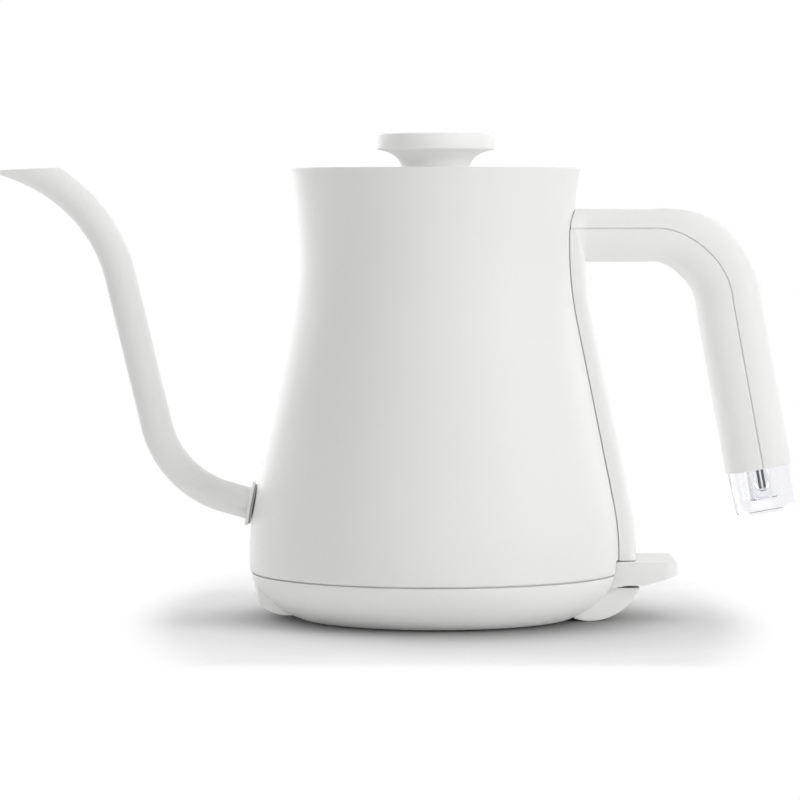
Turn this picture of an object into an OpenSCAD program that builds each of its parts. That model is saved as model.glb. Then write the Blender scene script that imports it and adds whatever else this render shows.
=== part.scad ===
// Gooseneck electric kettle, lifted off its power base.
// Z is up, the spout points along -X and the handle along +X.
// The origin is on the table, on the body's axis.

/* [Body] */
// Height of the rim above the table
rim_z = 152.1; // [150:0.1:154]
// Outer radius at the rim
rim_r = 48.8; // [48:0.1:49.6]
// Outer radius at the waist
waist_r = 46.5; // [45.8:0.1:47.2]
// Height of the waist
waist_z = 126; // [124:0.5:128]
// Largest outer radius, round the belly
belly_r = 63; // [62:0.25:64.5]
// Height of the belly
belly_z = 22; // [21:0.25:24]
// Bend radius of the outline round the belly
belly_bend = 90; // [80:1:100]
// Bend radius of the outline round the waist
waist_bend = 128; // [120:1:140]
// Height of the seam between body and base
seam_z = 16; // [15.5:0.1:16.5]
// Bevel of the body's lower edge
seam_edge = 0.4; // [0.2:0.05:0.6]
// Thickness of the steel wall
body_wall = 0.8; // [0.6:0.1:1]
// Depth of the ledge that carries the lid, under the rim
ledge_depth = 3.5; // [3:0.1:4.5]
// Inner radius of the ledge
ledge_r = 44.6; // [44.2:0.1:45]

/* [Vessel floor and heater] */
// Height of the vessel's floor inside
floor_z = 30; // [29.5:0.1:30.6]
// Thickness of the vessel's floor
floor_t = 1; // [0.8:0.1:1.4]
// Height of the floor's upturned skirt
skirt_h = 3; // [2:0.25:3.6]
// Thickness of the aluminium heat spreader
spreader_t = 3; // [2.4:0.1:3.4]
// Radius of the heat spreader
spreader_r = 46; // [44:0.5:47.5]
// How far the heating element's circle lies inside the edge of the cover's flat bottom
heater_in = 8.5; // [8:0.5:10.5]
// Diameter of the heater tube
heater_d = 6.6; // [6:0.1:7]
// Opening between the heater's two ends, in degrees
heater_gap = 50; // [40:1:60]

/* [Controls in the base] */
// Radius of the control housing
control_r = 20; // [18.5:0.25:21]
// Radius of the recess that fits over the power base's hub
recess_r = 16; // [15:0.25:16.5]
// Depth of that recess
recess_depth = 7; // [6:0.25:8]
// How far the pillars' circle lies inside the heating element's
pillar_in = 10; // [9:0.25:11]
// Radius of a pillar
pillar_r = 3.2; // [2.8:0.1:3.6]
// Radius of a base screw's shank
screw_r = 1.3; // [1.1:0.05:1.5]

/* [Base cover] */
// Gap of the seam under the body
seam_gap = 0.5; // [0.3:0.05:0.7]
// Wall of the moulded base cover
base_wall = 2; // [1.7:0.1:2.3]
// Clearance between the cover's flat bottom and the table
base_z = 0.4; // [0.3:0.05:0.6]
// Radius of the cover's flat bottom
base_flat_r = 46.5; // [45:0.25:47.5]
// Height of the locating collar above the seam
collar_h = 5; // [4:0.25:5.6]
// Radius of the circle of foot pads
foot_circle_r = 36; // [33:0.5:38]
// Radius of one foot pad
foot_r = 5; // [4:0.25:6]
// Half width of the toe under the spout
toe_w = 14; // [12:0.25:16]
// Half width of the heel under the handle
heel_w = 15.9; // [15.4:0.1:16]
// Radius of the heel's outline, seen from the side
heel_r = 18; // [17.8:0.1:18]
// Distance of that outline's centre from the edge of the flat bottom
heel_out = 5.3; // [4.9:0.1:5.5]
// Height of that outline's centre
heel_z = 18.1; // [18.1:0.1:18.4]

/* [Switch lever] */
// Distance of the lever's pin from the edge of the cover's flat bottom
pin_out = 8; // [7.5:0.1:8.5]
// Height of the lever's pin
pin_z = 13.9; // [13.85:0.05:14.3]
// Radius of the lever's pin
pin_r = 1.2; // [1:0.05:1.4]
// Half width of the lever
lever_w = 17.5; // [17.3:0.1:18]
// Height of the lever's top
lever_z = 20; // [19.7:0.1:20.2]
// Reach of the lever from the body's axis
lever_x = 81.4; // [78:0.2:84]
// Thickness of the lever's tip
lever_t = 4.7; // [4.4:0.1:4.9]
// Rounding of the lever's corners, seen from above
lever_round = 5; // [2:0.5:8]

/* [Spout] */
// Outer diameter of the spout tube
spout_d = 10.6; // [10:0.1:11]
// Wall of the spout tube
spout_wall = 0.8; // [0.6:0.1:1]
// Height of the spout's root
spout_z = 38.3; // [37.8:0.1:39.5]
// Length of the straight part at the root
spout_root_l = 9.3; // [8:0.1:12]
// Rise of the root, in degrees
spout_root_a = 15.8; // [13:0.2:18]
// Bend radius of the lower curve
spout_low_bend = 33.5; // [31:0.25:36]
// Slope of the riser, in degrees
spout_riser_a = 76.5; // [74:0.25:79]
// Length of the riser
spout_riser_l = 51.9; // [46:0.25:56]
// Bend radius of the upper curve
spout_top_bend = 51; // [48:0.5:56]
// Slope after the upper curve, in degrees
spout_top_a = 45.6; // [43:0.2:48]
// Bend radius of the beak
spout_beak_bend = 58; // [54:0.5:64]
// Slope of the beak's end, in degrees
spout_beak_a = 19.8; // [18:0.2:22]
// Length of the straight end of the beak
beak_l = 4.3; // [3.8:0.1:5]
// Height of the cut across the mouth, at the end of the beak's bend
mouth_z = 151.6; // [150.5:0.1:152.2]
// Tilt of the cut across the mouth, in degrees
mouth_tilt = 2.6; // [0:0.2:5]
// Radius of the spout's collar
spout_collar_r = 7.5; // [7.1:0.1:8.2]
// Thickness of the spout's collar
spout_collar_t = 1.2; // [1:0.1:1.5]
// Thickness of the seal behind the collar
spout_seal_t = 0.6; // [0.5:0.05:0.8]
// Diameter of the strainer holes
strainer_d = 2; // [1.6:0.1:2.1]

/* [Handle] */
// Height of the handle's top
handle_top_z = 138.3; // [137.5:0.1:139.5]
// Height of the bar's underside
bar_z = 120.5; // [119.8:0.1:121.2]
// Height of the parting line along the bar
parting_z = 131.8; // [131:0.1:132.4]
// Half width of the back strip where it meets the bar
strip_w = 13; // [12.6:0.1:13.4]
// Half width of the back strip at its foot
strip_foot_w = 14.2; // [13.6:0.1:14.6]
// How far the back strip stands out from the body at its foot
strip_d = 4.8; // [4.6:0.1:5.2]
// How far the back strip stands out where it meets the bar
strip_top_d = 3.8; // [3.7:0.1:4.2]
// Wall of the back strip
strip_wall = 1.4; // [1.2:0.1:1.5]
// Half width of the bar
bar_w = 11.4; // [11:0.1:12]
// Length over which the bar flares to the strip's width
flare_l = 5; // [3:0.5:7]
// Height over which the top of the strip rounds off
root_h = 15; // [14.5:0.25:17]
// Length of the bar, from the body's axis to the bend
bar_x = 71.7; // [69:0.1:74]
// Radius of the bend, at the middle of the section
bend_r = 28; // [27:0.1:30]
// How much the bend swells outward half way round
bend_swell = 1.3; // [0.5:0.1:2]
// Angle that the handle turns through
handle_turn = 79.5; // [76:0.1:82]
// Half width of the grip
grip_w = 11; // [10.6:0.1:11.6]
// Depth of the grip, from its inner to its outer face
grip_d = 22.4; // [21.4:0.1:23]
// Height of the end of the grip
grip_end_z = 50.8; // [47:0.25:55]
// Offset of the parting line outward from the grip's middle
parting_out = 0.7; // [0.3:0.1:1.2]
// Width of the parting line
parting_gap = 0.3; // [0.2:0.05:0.4]
// Wall of the handle shells
handle_wall = 1.8; // [1.6:0.1:1.9]

/* [Lamp] */
// Length of the clear lens
lens_l = 14.9; // [13:0.1:16]
// Depth of the lens at the grip
lens_d = 21.2; // [20.4:0.1:21.4]
// Depth of the lens at its end
lens_end_d = 20; // [19:0.1:20.4]
// Diameter of the lens's pocket
pocket_d = 8.5; // [8:0.1:9.5]
// Depth of the lens's pocket
pocket_l = 10.4; // [9.6:0.1:11.5]
// Diameter of the neon bulb
bulb_d = 6.4; // [6:0.1:6.8]
// How far the bulb stands out of the grip
bulb_out = 8; // [7:0.1:9]

/* [Lid] */
// Radius of the lid's cap
lid_r = 46.4; // [46:0.1:46.8]
// Depth of the lid's top below the rim
lid_sunk = 0.6; // [0.3:0.05:1]
// Radius of the lid's steel liner
liner_r = 43.6; // [43:0.1:44]
// Height of the lid's steel liner
liner_h = 13; // [10:0.25:14.5]
// Radius of the knob
knob_r = 20.2; // [18:0.2:22]
// Height of the knob above the rim
knob_h = 11.6; // [10.5:0.1:14]
// Thickness of the knob's disc
knob_t = 5.4; // [4.5:0.1:6]
// Radius of the knob's neck
knob_neck_r = 11.4; // [10:0.2:13]
// Rounding of the knob's edges
knob_edge = 0.7; // [0.3:0.1:1.2]

/* [Hidden] */
$fn = 64;
round_fn = 128;

fit = 0.3; // clearance between pieces that lie along each other
weld = 0.05; // gap left at a brazed, welded or threaded joint
eps = 1; // overshoot of a cutting tool

// ---- outline of the body -------------------------------------------------
// Belly arc and waist arc joined by their common tangent, then the flare of the rim.
belly_c = belly_r - belly_bend;
waist_c = waist_r + waist_bend;
bend_span = norm([waist_c - belly_c, waist_z - belly_z]);
flank_a = atan2(waist_z - belly_z, waist_c - belly_c) - acos((belly_bend + waist_bend) / bend_span);
flank_r = belly_c + belly_bend * cos(flank_a);
flank_z = belly_z + belly_bend * sin(flank_a);
flank_top_z = waist_z - waist_bend * sin(flank_a);
flare = rim_r - waist_r;
flare_bend = (pow(rim_z - waist_z, 2) + pow(flare, 2)) / (2 * flare);

function body_r(z) =
    z < flank_z ? belly_c + sqrt(pow(belly_bend, 2) - pow(z - belly_z, 2)) :
    z < flank_top_z ? flank_r - (z - flank_z) * tan(flank_a) :
    z < waist_z ? waist_c - sqrt(pow(waist_bend, 2) - pow(z - waist_z, 2)) :
    waist_r + flare_bend - sqrt(pow(flare_bend, 2) - pow(z - waist_z, 2));

// The body's outline moved out by d, as n + 1 [radius, height] points.
function wall_line(z0, z1, d, n) =
    [for (i = [0:n]) let (z = z0 + (z1 - z0) * i / n) [body_r(z) + d, z]];

// Where the body's skin, moved out by d, lies at height z and side offset y.
function skin_x(z, y, d) = sqrt(pow(body_r(z) + d, 2) - pow(y, 2));

function reverse(v) = [for (i = [len(v) - 1:-1:0]) v[i]];
function mix(a, b, t) = a + (b - a) * t;
function ease(t) = t * t * (3 - 2 * t);
function bezier(p, t) =
    pow(1 - t, 3) * p[0] + 3 * t * pow(1 - t, 2) * p[1] + 3 * t * t * (1 - t) * p[2] + pow(t, 3) * p[3];
function curve(p, n) = [for (i = [0:n]) bezier(p, i / n)];

// ---- lofting ----------------------------------------------------------------
// A solid through rings that all have the same number of points. A wall's ring runs
// out along its outer side and back along its inner side, and its ends close between them.
function quad(a, b, c, d) = [[a, b, c], [a, c, d]];
module loft(rings, walled = false) {
    n = len(rings[0]);
    last = (len(rings) - 1) * n;
    sides = [for (i = [0:len(rings) - 2], j = [0:n - 1])
        each quad(i * n + j, i * n + (j + 1) % n, (i + 1) * n + (j + 1) % n, (i + 1) * n + j)];
    start = walled
        ? [for (k = [0:n / 2 - 2]) each quad(k + 1, k, n - 1 - k, n - 2 - k)]
        : [for (k = [1:n - 2]) [0, k + 1, k]];
    end = walled
        ? [for (k = [0:n / 2 - 2]) each quad(last + k, last + k + 1, last + n - 2 - k, last + n - 1 - k)]
        : [for (k = [1:n - 2]) [last, last + k, last + k + 1]];
    polyhedron(points = [for (r = rings) each r], faces = concat(start, sides, end));
}

// A round bar along a path of [x, y, z] points that never runs along Y.
function heading(path, i) =
    let (d = path[min(i + 1, len(path) - 1)] - path[max(i - 1, 0)]) d / norm(d);
function bar_ring(c, d, r, n) =
    let (u = cross(d, [0, 1, 0]), side = u / norm(u), up = cross(side, d))
    [for (k = [0:n - 1]) c + r * (cos(360 * k / n) * side + sin(360 * k / n) * up)];
module wire(path, r, n = 6) {
    loft([for (i = [0:len(path) - 1]) bar_ring(path[i], heading(path, i), r, n)]);
}

// ---- body -------------------------------------------------------------------
outline_steps = 40;
rim_t = 2 * body_wall; // the rim is folded over
ledge_z = rim_z - ledge_depth;
ledge_t = 1;
slot_clear = 0.5; // play round the lever in its slot
pin_x = base_flat_r + pin_out;
slot_w = lever_w + slot_clear;
slot_top_z = lever_z + slot_clear;
port_z = 24.5; // wires and steam tube pass the wall here
port_y = 5;
port_r = 1.9;
port_reach = 4; // the ports are cut this far to either side of the skin
steam_port_z = 127;
strainer_pitch = strainer_d + 0.7;
strainer_at = [for (a = [0:60:300]) strainer_pitch * [cos(a), sin(a)]];

module body_shell() {
    inner_top = ledge_z - ledge_t;
    color("white") difference() {
        rotate_extrude($fn = round_fn) polygon(concat(
            [[body_r(seam_z) - seam_edge, seam_z]],
            wall_line(seam_z + seam_edge, rim_z - seam_edge, 0, outline_steps),
            [[rim_r - seam_edge, rim_z], [rim_r - rim_t + seam_edge, rim_z],
             [rim_r - rim_t, rim_z - seam_edge], [rim_r - rim_t, ledge_z],
             [ledge_r, ledge_z], [ledge_r, inner_top]],
            reverse(wall_line(seam_z, inner_top, -body_wall, outline_steps))));
        for (p = concat([[0, 0]], strainer_at))
            translate([-belly_r - eps, p[0], spout_z + p[1]])
                rotate([0, 90, 0]) cylinder(h = belly_r / 6, d = strainer_d);
        translate([pin_x, -slot_w, 0])
            cube([belly_r, 2 * slot_w, slot_top_z]);
        for (side = [-1, 1])
            translate([body_r(port_z) - port_reach, side * port_y, port_z])
                rotate([0, 90, 0]) cylinder(h = 2 * port_reach, r = port_r);
        translate([body_r(steam_port_z) - port_reach, port_y, steam_port_z])
            rotate([0, 90, 0]) cylinder(h = 2 * port_reach, r = port_r);
    }
}

module vessel_floor() {
    color("silver") rotate_extrude($fn = round_fn) polygon(concat(
        [[0, floor_z - floor_t]],
        wall_line(floor_z - floor_t, floor_z + skirt_h, -body_wall - weld, 4),
        reverse(wall_line(floor_z, floor_z + skirt_h, -body_wall - weld - floor_t, 4)),
        [[0, floor_z]]));
}

// ---- heater and controls -------------------------------------------------
spreader_z = floor_z - floor_t - spreader_t;
heater_r = base_flat_r - heater_in;
pillar_circle_r = heater_r - pillar_in;
pillar_at = [90, 210, 330];
boss_top_z = 6;
thread_l = 9; // length of a base screw's shank

module heat_spreader() {
    color("lightgray") translate([0, 0, spreader_z]) cylinder(h = spreader_t, r = spreader_r);
}

module heater_coil() {
    z = spreader_z - weld - heater_d / 2;
    cold_pin_r = 1.6;
    cold_pin_l = 8;
    color("gray") translate([0, 0, z]) {
        rotate([0, 0, 180 + heater_gap / 2]) rotate_extrude(angle = 360 - heater_gap)
            translate([heater_r, 0]) circle(d = heater_d);
        for (side = [-1, 1])
            rotate([0, 0, 180 + side * heater_gap / 2]) translate([heater_r, 0, 0])
                rotate([side * 90, 0, 0]) cylinder(h = cold_pin_l, r = cold_pin_r);
    }
}

module base_pillars() {
    color("silver") for (a = pillar_at) rotate([0, 0, a]) translate([pillar_circle_r, 0, 0])
        difference() {
            translate([0, 0, boss_top_z]) cylinder(h = spreader_z - boss_top_z, r = pillar_r);
            translate([0, 0, boss_top_z - eps]) cylinder(h = thread_l + eps, r = screw_r + weld);
        }
}

control_top_z = spreader_z - 1.5;
control_z = recess_depth + fit;
slot_depth = 5.5;
ring_slots = [[3.4, 5.6], [8.2, 10.4]]; // inner and outer radius of the two contact slots
centre_hole_r = 1.7;
contact_t = 0.6;
module ring(r0, r1, h) {
    difference() {
        cylinder(h = h, r = r1);
        translate([0, 0, -eps]) cylinder(h = h + 2 * eps, r = r0);
    }
}

module control_housing() {
    ear_r = 3.5;
    color("dimgray") difference() {
        union() {
            translate([0, 0, control_z]) cylinder(h = control_top_z - control_z, r = recess_r - fit);
            translate([0, 0, control_z + 4]) cylinder(h = control_top_z - control_z - 4, r = control_r);
            for (a = pillar_at) rotate([0, 0, a + 60]) translate([control_r, 0, control_top_z - 4])
                cylinder(h = 4, r = ear_r);
        }
        for (s = ring_slots) translate([0, 0, control_z - eps]) ring(s[0], s[1], slot_depth + eps);
        translate([0, 0, control_z - eps]) cylinder(h = slot_depth + eps, r = centre_hole_r);
    }
}

module coupler_contacts() {
    color("goldenrod") translate([0, 0, control_z + eps]) {
        for (s = ring_slots) ring(s[1] - contact_t, s[1], slot_depth - eps);
        ring(centre_hole_r - contact_t, centre_hole_r, slot_depth - eps);
    }
}

module bimetal_disc() {
    color("silver") translate([0, 0, control_top_z]) cylinder(h = 1.2, r = 6.5);
}

// ---- base cover ----------------------------------------------------------
cover_top_z = seam_z - seam_gap;
cover_r = body_r(seam_z) - seam_edge;
collar_out = body_r(seam_z) - body_wall - 0.4;
collar_in = collar_out - 1.8;
bowl_low = 6.2; // how far the bowl has drawn in near its bottom
bowl = [[cover_r, cover_top_z], [cover_r - 0.6, 10.2], [cover_r - bowl_low, base_z + 3.9],
    [base_flat_r, base_z]];
bowl_inside = [[collar_in, cover_top_z], [collar_in - 0.6, 10.2 + base_wall / 2],
    [cover_r - bowl_low - base_wall, base_z + 3.9 + base_wall / 2], [base_flat_r, base_z + base_wall]];
hub_wall = 2;
foot_h = 1.4;
heel_edge = 0.8;
heel_top_z = 11.3;
heel_x = base_flat_r + heel_out;
ear_in = 6.4; // inner face of the ears that hold the pin
ear_out = ear_in + base_wall;
ear_r = 4;
pocket_z = 9.6; // floor of the pockets that the lever's cheeks dip into
heel_tip = [heel_x + sqrt(pow(heel_r, 2) - pow(heel_z - heel_top_z, 2)), heel_top_z];
swing_r = norm(heel_tip - [pin_x, pin_z]) + fit; // the lever's skirt clears the heel from here out

// A drum that lies across the heel, with rounded edges.
module drum(x, z, r, w, edge) {
    translate([x, 0, z]) rotate([90, 0, 0]) rotate_extrude($fn = round_fn)
        polygon(concat([[0, -w]],
            [for (a = [-90:22.5:0]) [r - edge, edge - w] + edge * [cos(a), sin(a)]],
            [for (a = [0:22.5:90]) [r - edge, w - edge] + edge * [cos(a), sin(a)]],
            [[0, w]]));
}

module toe() {
    tip = cover_r - 1.4;
    toe_z = 1.9;
    intersection() {
        rotate_extrude($fn = round_fn) polygon(concat(
            [[base_flat_r, 14], [tip + 0.3, 14]],
            curve([[tip + 0.2, 8.5], [tip - 0.3, 4.6], [tip - 3, 2.4], [tip - 9, toe_z]], 8),
            [[base_flat_r, toe_z]]));
        translate([-belly_r, -toe_w, 0]) cube([belly_r, 2 * toe_w, seam_z]);
    }
}

// Fills the bowl round the heel, so that the lever's slot has side walls and a floor.
module heel_block() {
    w = slot_w + base_wall;
    intersection() {
        rotate_extrude($fn = round_fn) polygon(concat([[0, base_z]], reverse(curve(bowl, 14)),
            [[0, cover_top_z]]));
        translate([pin_x - base_wall, -w, base_z]) cube([belly_r, 2 * w, seam_z]);
    }
}

module base_cover() {
    color("white") difference() {
        union() {
            difference() {
                union() {
                    rotate_extrude($fn = round_fn) polygon(concat(
                        [[recess_r, 0], [recess_r + hub_wall, 0], [recess_r + hub_wall + 1, base_z]],
                        reverse(curve(bowl, 14)),
                        [[collar_out, cover_top_z], [collar_out, seam_z + collar_h],
                         [collar_in, seam_z + collar_h]],
                        curve(bowl_inside, 10),
                        [[recess_r + hub_wall, base_z + base_wall], [recess_r + hub_wall, recess_depth],
                         [recess_r, recess_depth]]));
                    toe();
                    heel_block();
                    intersection() {
                        drum(heel_x, heel_z, heel_r, heel_w, heel_edge);
                        translate([base_flat_r, -belly_r, 0])
                            cube([belly_r, 2 * belly_r, heel_top_z]);
                    }
                }
                drum(heel_x, heel_z, heel_r - base_wall, heel_w - base_wall, heel_edge);
                translate([pin_x, -slot_w, heel_top_z])
                    cube([belly_r, 2 * slot_w, seam_z + collar_h]);
                for (side = [0, 1]) mirror([0, side, 0]) translate([pin_x, heel_w, pocket_z])
                    cube([belly_r, slot_w - heel_w, seam_z]);
            }
            for (side = [0, 1]) mirror([0, side, 0]) translate([pin_x, ear_in, 0]) {
                translate([0, base_wall, pin_z]) rotate([90, 0, 0]) cylinder(h = base_wall, r = ear_r);
                translate([-ear_r, 0, base_z + base_wall / 2])
                    cube([2 * ear_r, base_wall, pin_z - base_z - base_wall / 2]);
            }
            for (a = pillar_at) rotate([0, 0, a]) translate([pillar_circle_r, 0, base_z + base_wall / 2])
                cylinder(h = boss_top_z - base_z - base_wall / 2, r = pillar_r + 2);
        }
        for (a = pillar_at) rotate([0, 0, a]) translate([pillar_circle_r, 0, 0]) {
            cylinder(h = 2 * boss_top_z, r = screw_r + 0.2);
            cylinder(h = boss_top_z - 2, r = 2 * screw_r + 0.4);
        }
        for (a = [45:90:315]) rotate([0, 0, a]) translate([foot_circle_r, 0, 0])
            cylinder(h = foot_h, r = foot_r + weld);
        translate([pin_x, heel_w, pin_z]) rotate([90, 0, 0]) cylinder(h = 2 * heel_w, r = pin_r + 0.02);
    }
}

module foot_pads() {
    color("gray") for (a = [45:90:315]) rotate([0, 0, a]) translate([foot_circle_r, 0, 0])
        cylinder(h = foot_h, r = foot_r);
}

module base_screws() {
    head_h = 1.6;
    color("silver") for (a = pillar_at) rotate([0, 0, a]) translate([pillar_circle_r, 0, 0]) {
        translate([0, 0, boss_top_z - 2 - head_h]) cylinder(h = head_h, r = 2 * screw_r);
        translate([0, 0, boss_top_z - 2]) cylinder(h = thread_l, r = screw_r);
    }
}

switch_box = [8, 16, 13];
switch_x = base_flat_r - switch_box[0] - 0.8;
switch_z = base_z + base_wall;
module steam_switch() {
    color("dimgray") translate([switch_x, -switch_box[1] / 2, switch_z]) cube(switch_box);
}

// ---- switch lever --------------------------------------------------------
hub_r = 3.4;
hub_y0 = -5.9;
hub_y1 = 3;
skirt_in = heel_w + 0.4;
lever_under_z = lever_z - lever_t;
cheek_x = pin_x + 1.5; // the cheeks reach back into the slot to here
cheek_z = 10.7;
skirt_z = 12.2;
skirt_x = pin_x + swing_r + 1.2;
plate_x = pin_x + ear_r + 0.9;

module lever_outline() {
    tip_edge = 1.2;
    polygon([[cheek_x, lever_z], [lever_x - tip_edge, lever_z], [lever_x, lever_z - tip_edge],
        [lever_x, lever_under_z + tip_edge], [lever_x - tip_edge, lever_under_z],
        [skirt_x, skirt_z], [heel_tip[0] - 4.3, skirt_z], [cheek_x, cheek_z]]);
}

module switch_lever() {
    hub_w = hub_y1 - hub_y0;
    color("white") difference() {
        union() {
            difference() {
                translate([0, lever_w, 0]) rotate([90, 0, 0])
                    linear_extrude(2 * lever_w) lever_outline();
                translate([0, -skirt_in, 0]) cube([plate_x, 2 * skirt_in, 2 * lever_z]);
                intersection() {
                    translate([pin_x, skirt_in, pin_z]) rotate([90, 0, 0])
                        cylinder(h = 2 * skirt_in, r = swing_r, $fn = round_fn);
                    translate([plate_x - eps, -skirt_in, 0]) cube([lever_x, 2 * skirt_in, lever_under_z]);
                }
                for (side = [0, 1]) mirror([0, side, 0])
                    translate([lever_x - lever_round, lever_w - lever_round, 0]) difference() {
                        cube([2 * lever_round, 2 * lever_round, 2 * lever_z]);
                        translate([0, 0, -eps]) cylinder(h = 3 * lever_z, r = lever_round);
                    }
            }
            translate([pin_x, hub_y1, pin_z]) rotate([90, 0, 0]) cylinder(h = hub_w, r = hub_r);
            translate([pin_x, hub_y0, pin_z - 1])
                cube([plate_x - pin_x + 1, hub_w, lever_under_z - pin_z + 3]);
        }
        translate([pin_x, heel_w, pin_z]) rotate([90, 0, 0]) cylinder(h = 2 * heel_w, r = pin_r + 0.06);
    }
}

module lever_pin() {
    color("silver") translate([pin_x, ear_out + 0.4, pin_z]) rotate([90, 0, 0])
        cylinder(h = 2 * (ear_out + 0.4), r = pin_r);
}

// A torsion spring round the pin: one leg on the heel's floor, one under the lever.
module lever_spring() {
    coil_r = 2.3;
    turns = 3;
    span = ear_in - hub_y1 - 1.4;
    coil = [for (i = [0:12 * turns]) let (a = -90 + 30 * i)
        [pin_x + coil_r * cos(a), hub_y1 + 0.7 + span * i / (12 * turns), pin_z + coil_r * sin(a)]];
    color("silver") wire(concat([[pin_x - 6, hub_y1 + 0.7, pin_z - coil_r]], coil,
        [[pin_x + 5, hub_y1 + 0.7 + span, pin_z - coil_r]]), 0.3);
}

// ---- spout ---------------------------------------------------------------
// The path is a straight root, an upward bend, a straight riser and two bends that
// lay it over. Slopes are measured up from -X.
function ahead(a) = [-cos(a), sin(a)];
function left_of(a) = [sin(a), cos(a)];
spout_play = 0.6; // the tube starts this far off the skin
spout_start = [-body_r(spout_z) - spout_play, spout_z];
low_start = spout_start + spout_root_l * ahead(spout_root_a);
low_c = low_start + spout_low_bend * left_of(spout_root_a);
riser_start = low_c - spout_low_bend * left_of(spout_riser_a);
riser_end = riser_start + spout_riser_l * ahead(spout_riser_a);
top_c = riser_end - spout_top_bend * left_of(spout_riser_a);
beak_start = top_c + spout_top_bend * left_of(spout_top_a);
beak_c = beak_start - spout_beak_bend * left_of(spout_top_a);
beak_end = beak_c + spout_beak_bend * left_of(spout_beak_a);

// A station is [centre, slope], where centre is [x, z].
function spout_bend(c, r, a0, a1, n) =
    [for (i = [0:n]) let (a = mix(a0, a1, i / n)) [c + r * left_of(a), a]];
spout_sides = 28;
spout_stations = concat(
    [[spout_start, spout_root_a]],
    spout_bend(low_c, -spout_low_bend, spout_root_a, spout_riser_a, 9),
    spout_bend(top_c, spout_top_bend, spout_riser_a, spout_top_a, 6),
    spout_bend(beak_c, spout_beak_bend, spout_top_a, spout_beak_a, 5),
    [[beak_end + beak_l * ahead(spout_beak_a), spout_beak_a]]);
function spout_ring(s, r) = [for (k = [0:spout_sides - 1])
    let (a = 360 * k / spout_sides, q = s[0] + r * cos(a) * left_of(s[1])) [q[0], -r * sin(a), q[1]]];
// The same path, longer at both ends.
function spout_longer(s, d) = let (n = len(s) - 1)
    [for (i = [0:n]) let (move = i == 0 ? -d : i == n ? d : 0) [s[i][0] + move * ahead(s[i][1]), s[i][1]]];

module spout_tube() {
    bore = spout_d / 2 - spout_wall;
    color("white") difference() {
        loft([for (s = spout_stations) spout_ring(s, spout_d / 2)]);
        loft([for (s = spout_longer(spout_stations, eps)) spout_ring(s, bore)]);
        translate([beak_end[0], 0, mouth_z]) rotate([0, -mouth_tilt, 0])
            translate([-3 * spout_d, -spout_d, 0]) cube([6 * spout_d, 2 * spout_d, 2 * spout_d]);
    }
}

// Places a disc square to the body's side at the spout, d out from its skin.
root_slope = atan2(body_r(spout_z - 1) - body_r(spout_z + 1), 2);
module at_spout_root(d) {
    translate([-body_r(spout_z), 0, spout_z]) rotate([0, root_slope - 90, 0]) translate([0, 0, d])
        children();
}
module spout_bore() {
    start = spout_start - 3 * ahead(spout_root_a);
    translate([start[0], 0, start[1]]) rotate([0, spout_root_a - 90, 0])
        cylinder(h = 3 + spout_root_l, d = spout_d + 2 * weld);
}
module spout_collar() {
    color("white") difference() {
        at_spout_root(0.15 + spout_seal_t) cylinder(h = spout_collar_t, r = spout_collar_r);
        spout_bore();
    }
}
module spout_seal() {
    color("gray") difference() {
        at_spout_root(0.1) cylinder(h = spout_seal_t, r = spout_collar_r - 0.7);
        spout_bore();
    }
}

// ---- handle --------------------------------------------------------------
// A station is [centre, outward normal, half depth, half width, parting offset].
// Centre and normal are [x, z].
round_power = 2.6; // squareness of the section: 2 is an ellipse
shell_steps = 24;
bend_steps = 16;
grip_steps = 5;
bar_mid_z = (handle_top_z + bar_z) / 2;
bar_half = (handle_top_z - bar_z) / 2;
bend_c = [bar_x, bar_mid_z - bend_r];
grip_dir = [cos(handle_turn), -sin(handle_turn)];
grip_start = bend_c + bend_r * [sin(handle_turn), cos(handle_turn)];
grip_l = (grip_start[1] - grip_end_z) / sin(handle_turn);
grip_end = grip_start + grip_l * grip_dir;
deepen_a = 45; // the section reaches its full depth at this angle

function bend_station(a) =
    let (out = [sin(a), cos(a)], t = ease(min(1, a / deepen_a)),
        r = bend_r + bend_swell * sin(180 * a / handle_turn))
    [bend_c + r * out, out, mix(bar_half, grip_d / 2, t), mix(bar_w, grip_w, t),
     mix(parting_z - bar_mid_z, parting_out, t)];
stations = concat(
    [for (i = [0:bend_steps]) bend_station(handle_turn * i / bend_steps)],
    [for (i = [1:grip_steps]) let (s = bend_station(handle_turn))
        [s[0] + grip_l * i / grip_steps * grip_dir, s[1], s[2], s[3], s[4]]]);

function signed_pow(v, k) = sign(v) * pow(abs(v), k);
function section(a, half, w, power) =
    [w * signed_pow(cos(a), 2 / power), half * signed_pow(sin(a), 2 / power)];
// Angle at which the section reaches the level cut.
function cut_angle(cut, half) = asin(pow(cut / half, round_power / 2));
// One side of a shell, as [y, outward] points. side is 1 for the outer shell, -1 for the inner.
function shell_side(half, w, cut, side) =
    let (c = cut_angle(cut, half),
        from = side > 0 ? c : 180 - c,
        to = side > 0 ? 180 - c : 360 + c)
    [for (i = [0:shell_steps]) section(mix(from, to, i / shell_steps), half, w, round_power)];
function shell_ring(half, w, parting, side) =
    let (cut = parting + side * parting_gap / 2)
    concat(shell_side(half, w, cut, side),
        reverse(shell_side(half - handle_wall, w - handle_wall, cut, side)));
function at_station(s, p) =
    [s[0][0] + s[1][0] * p[1], p[0], s[0][1] + s[1][1] * p[1]];
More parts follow.
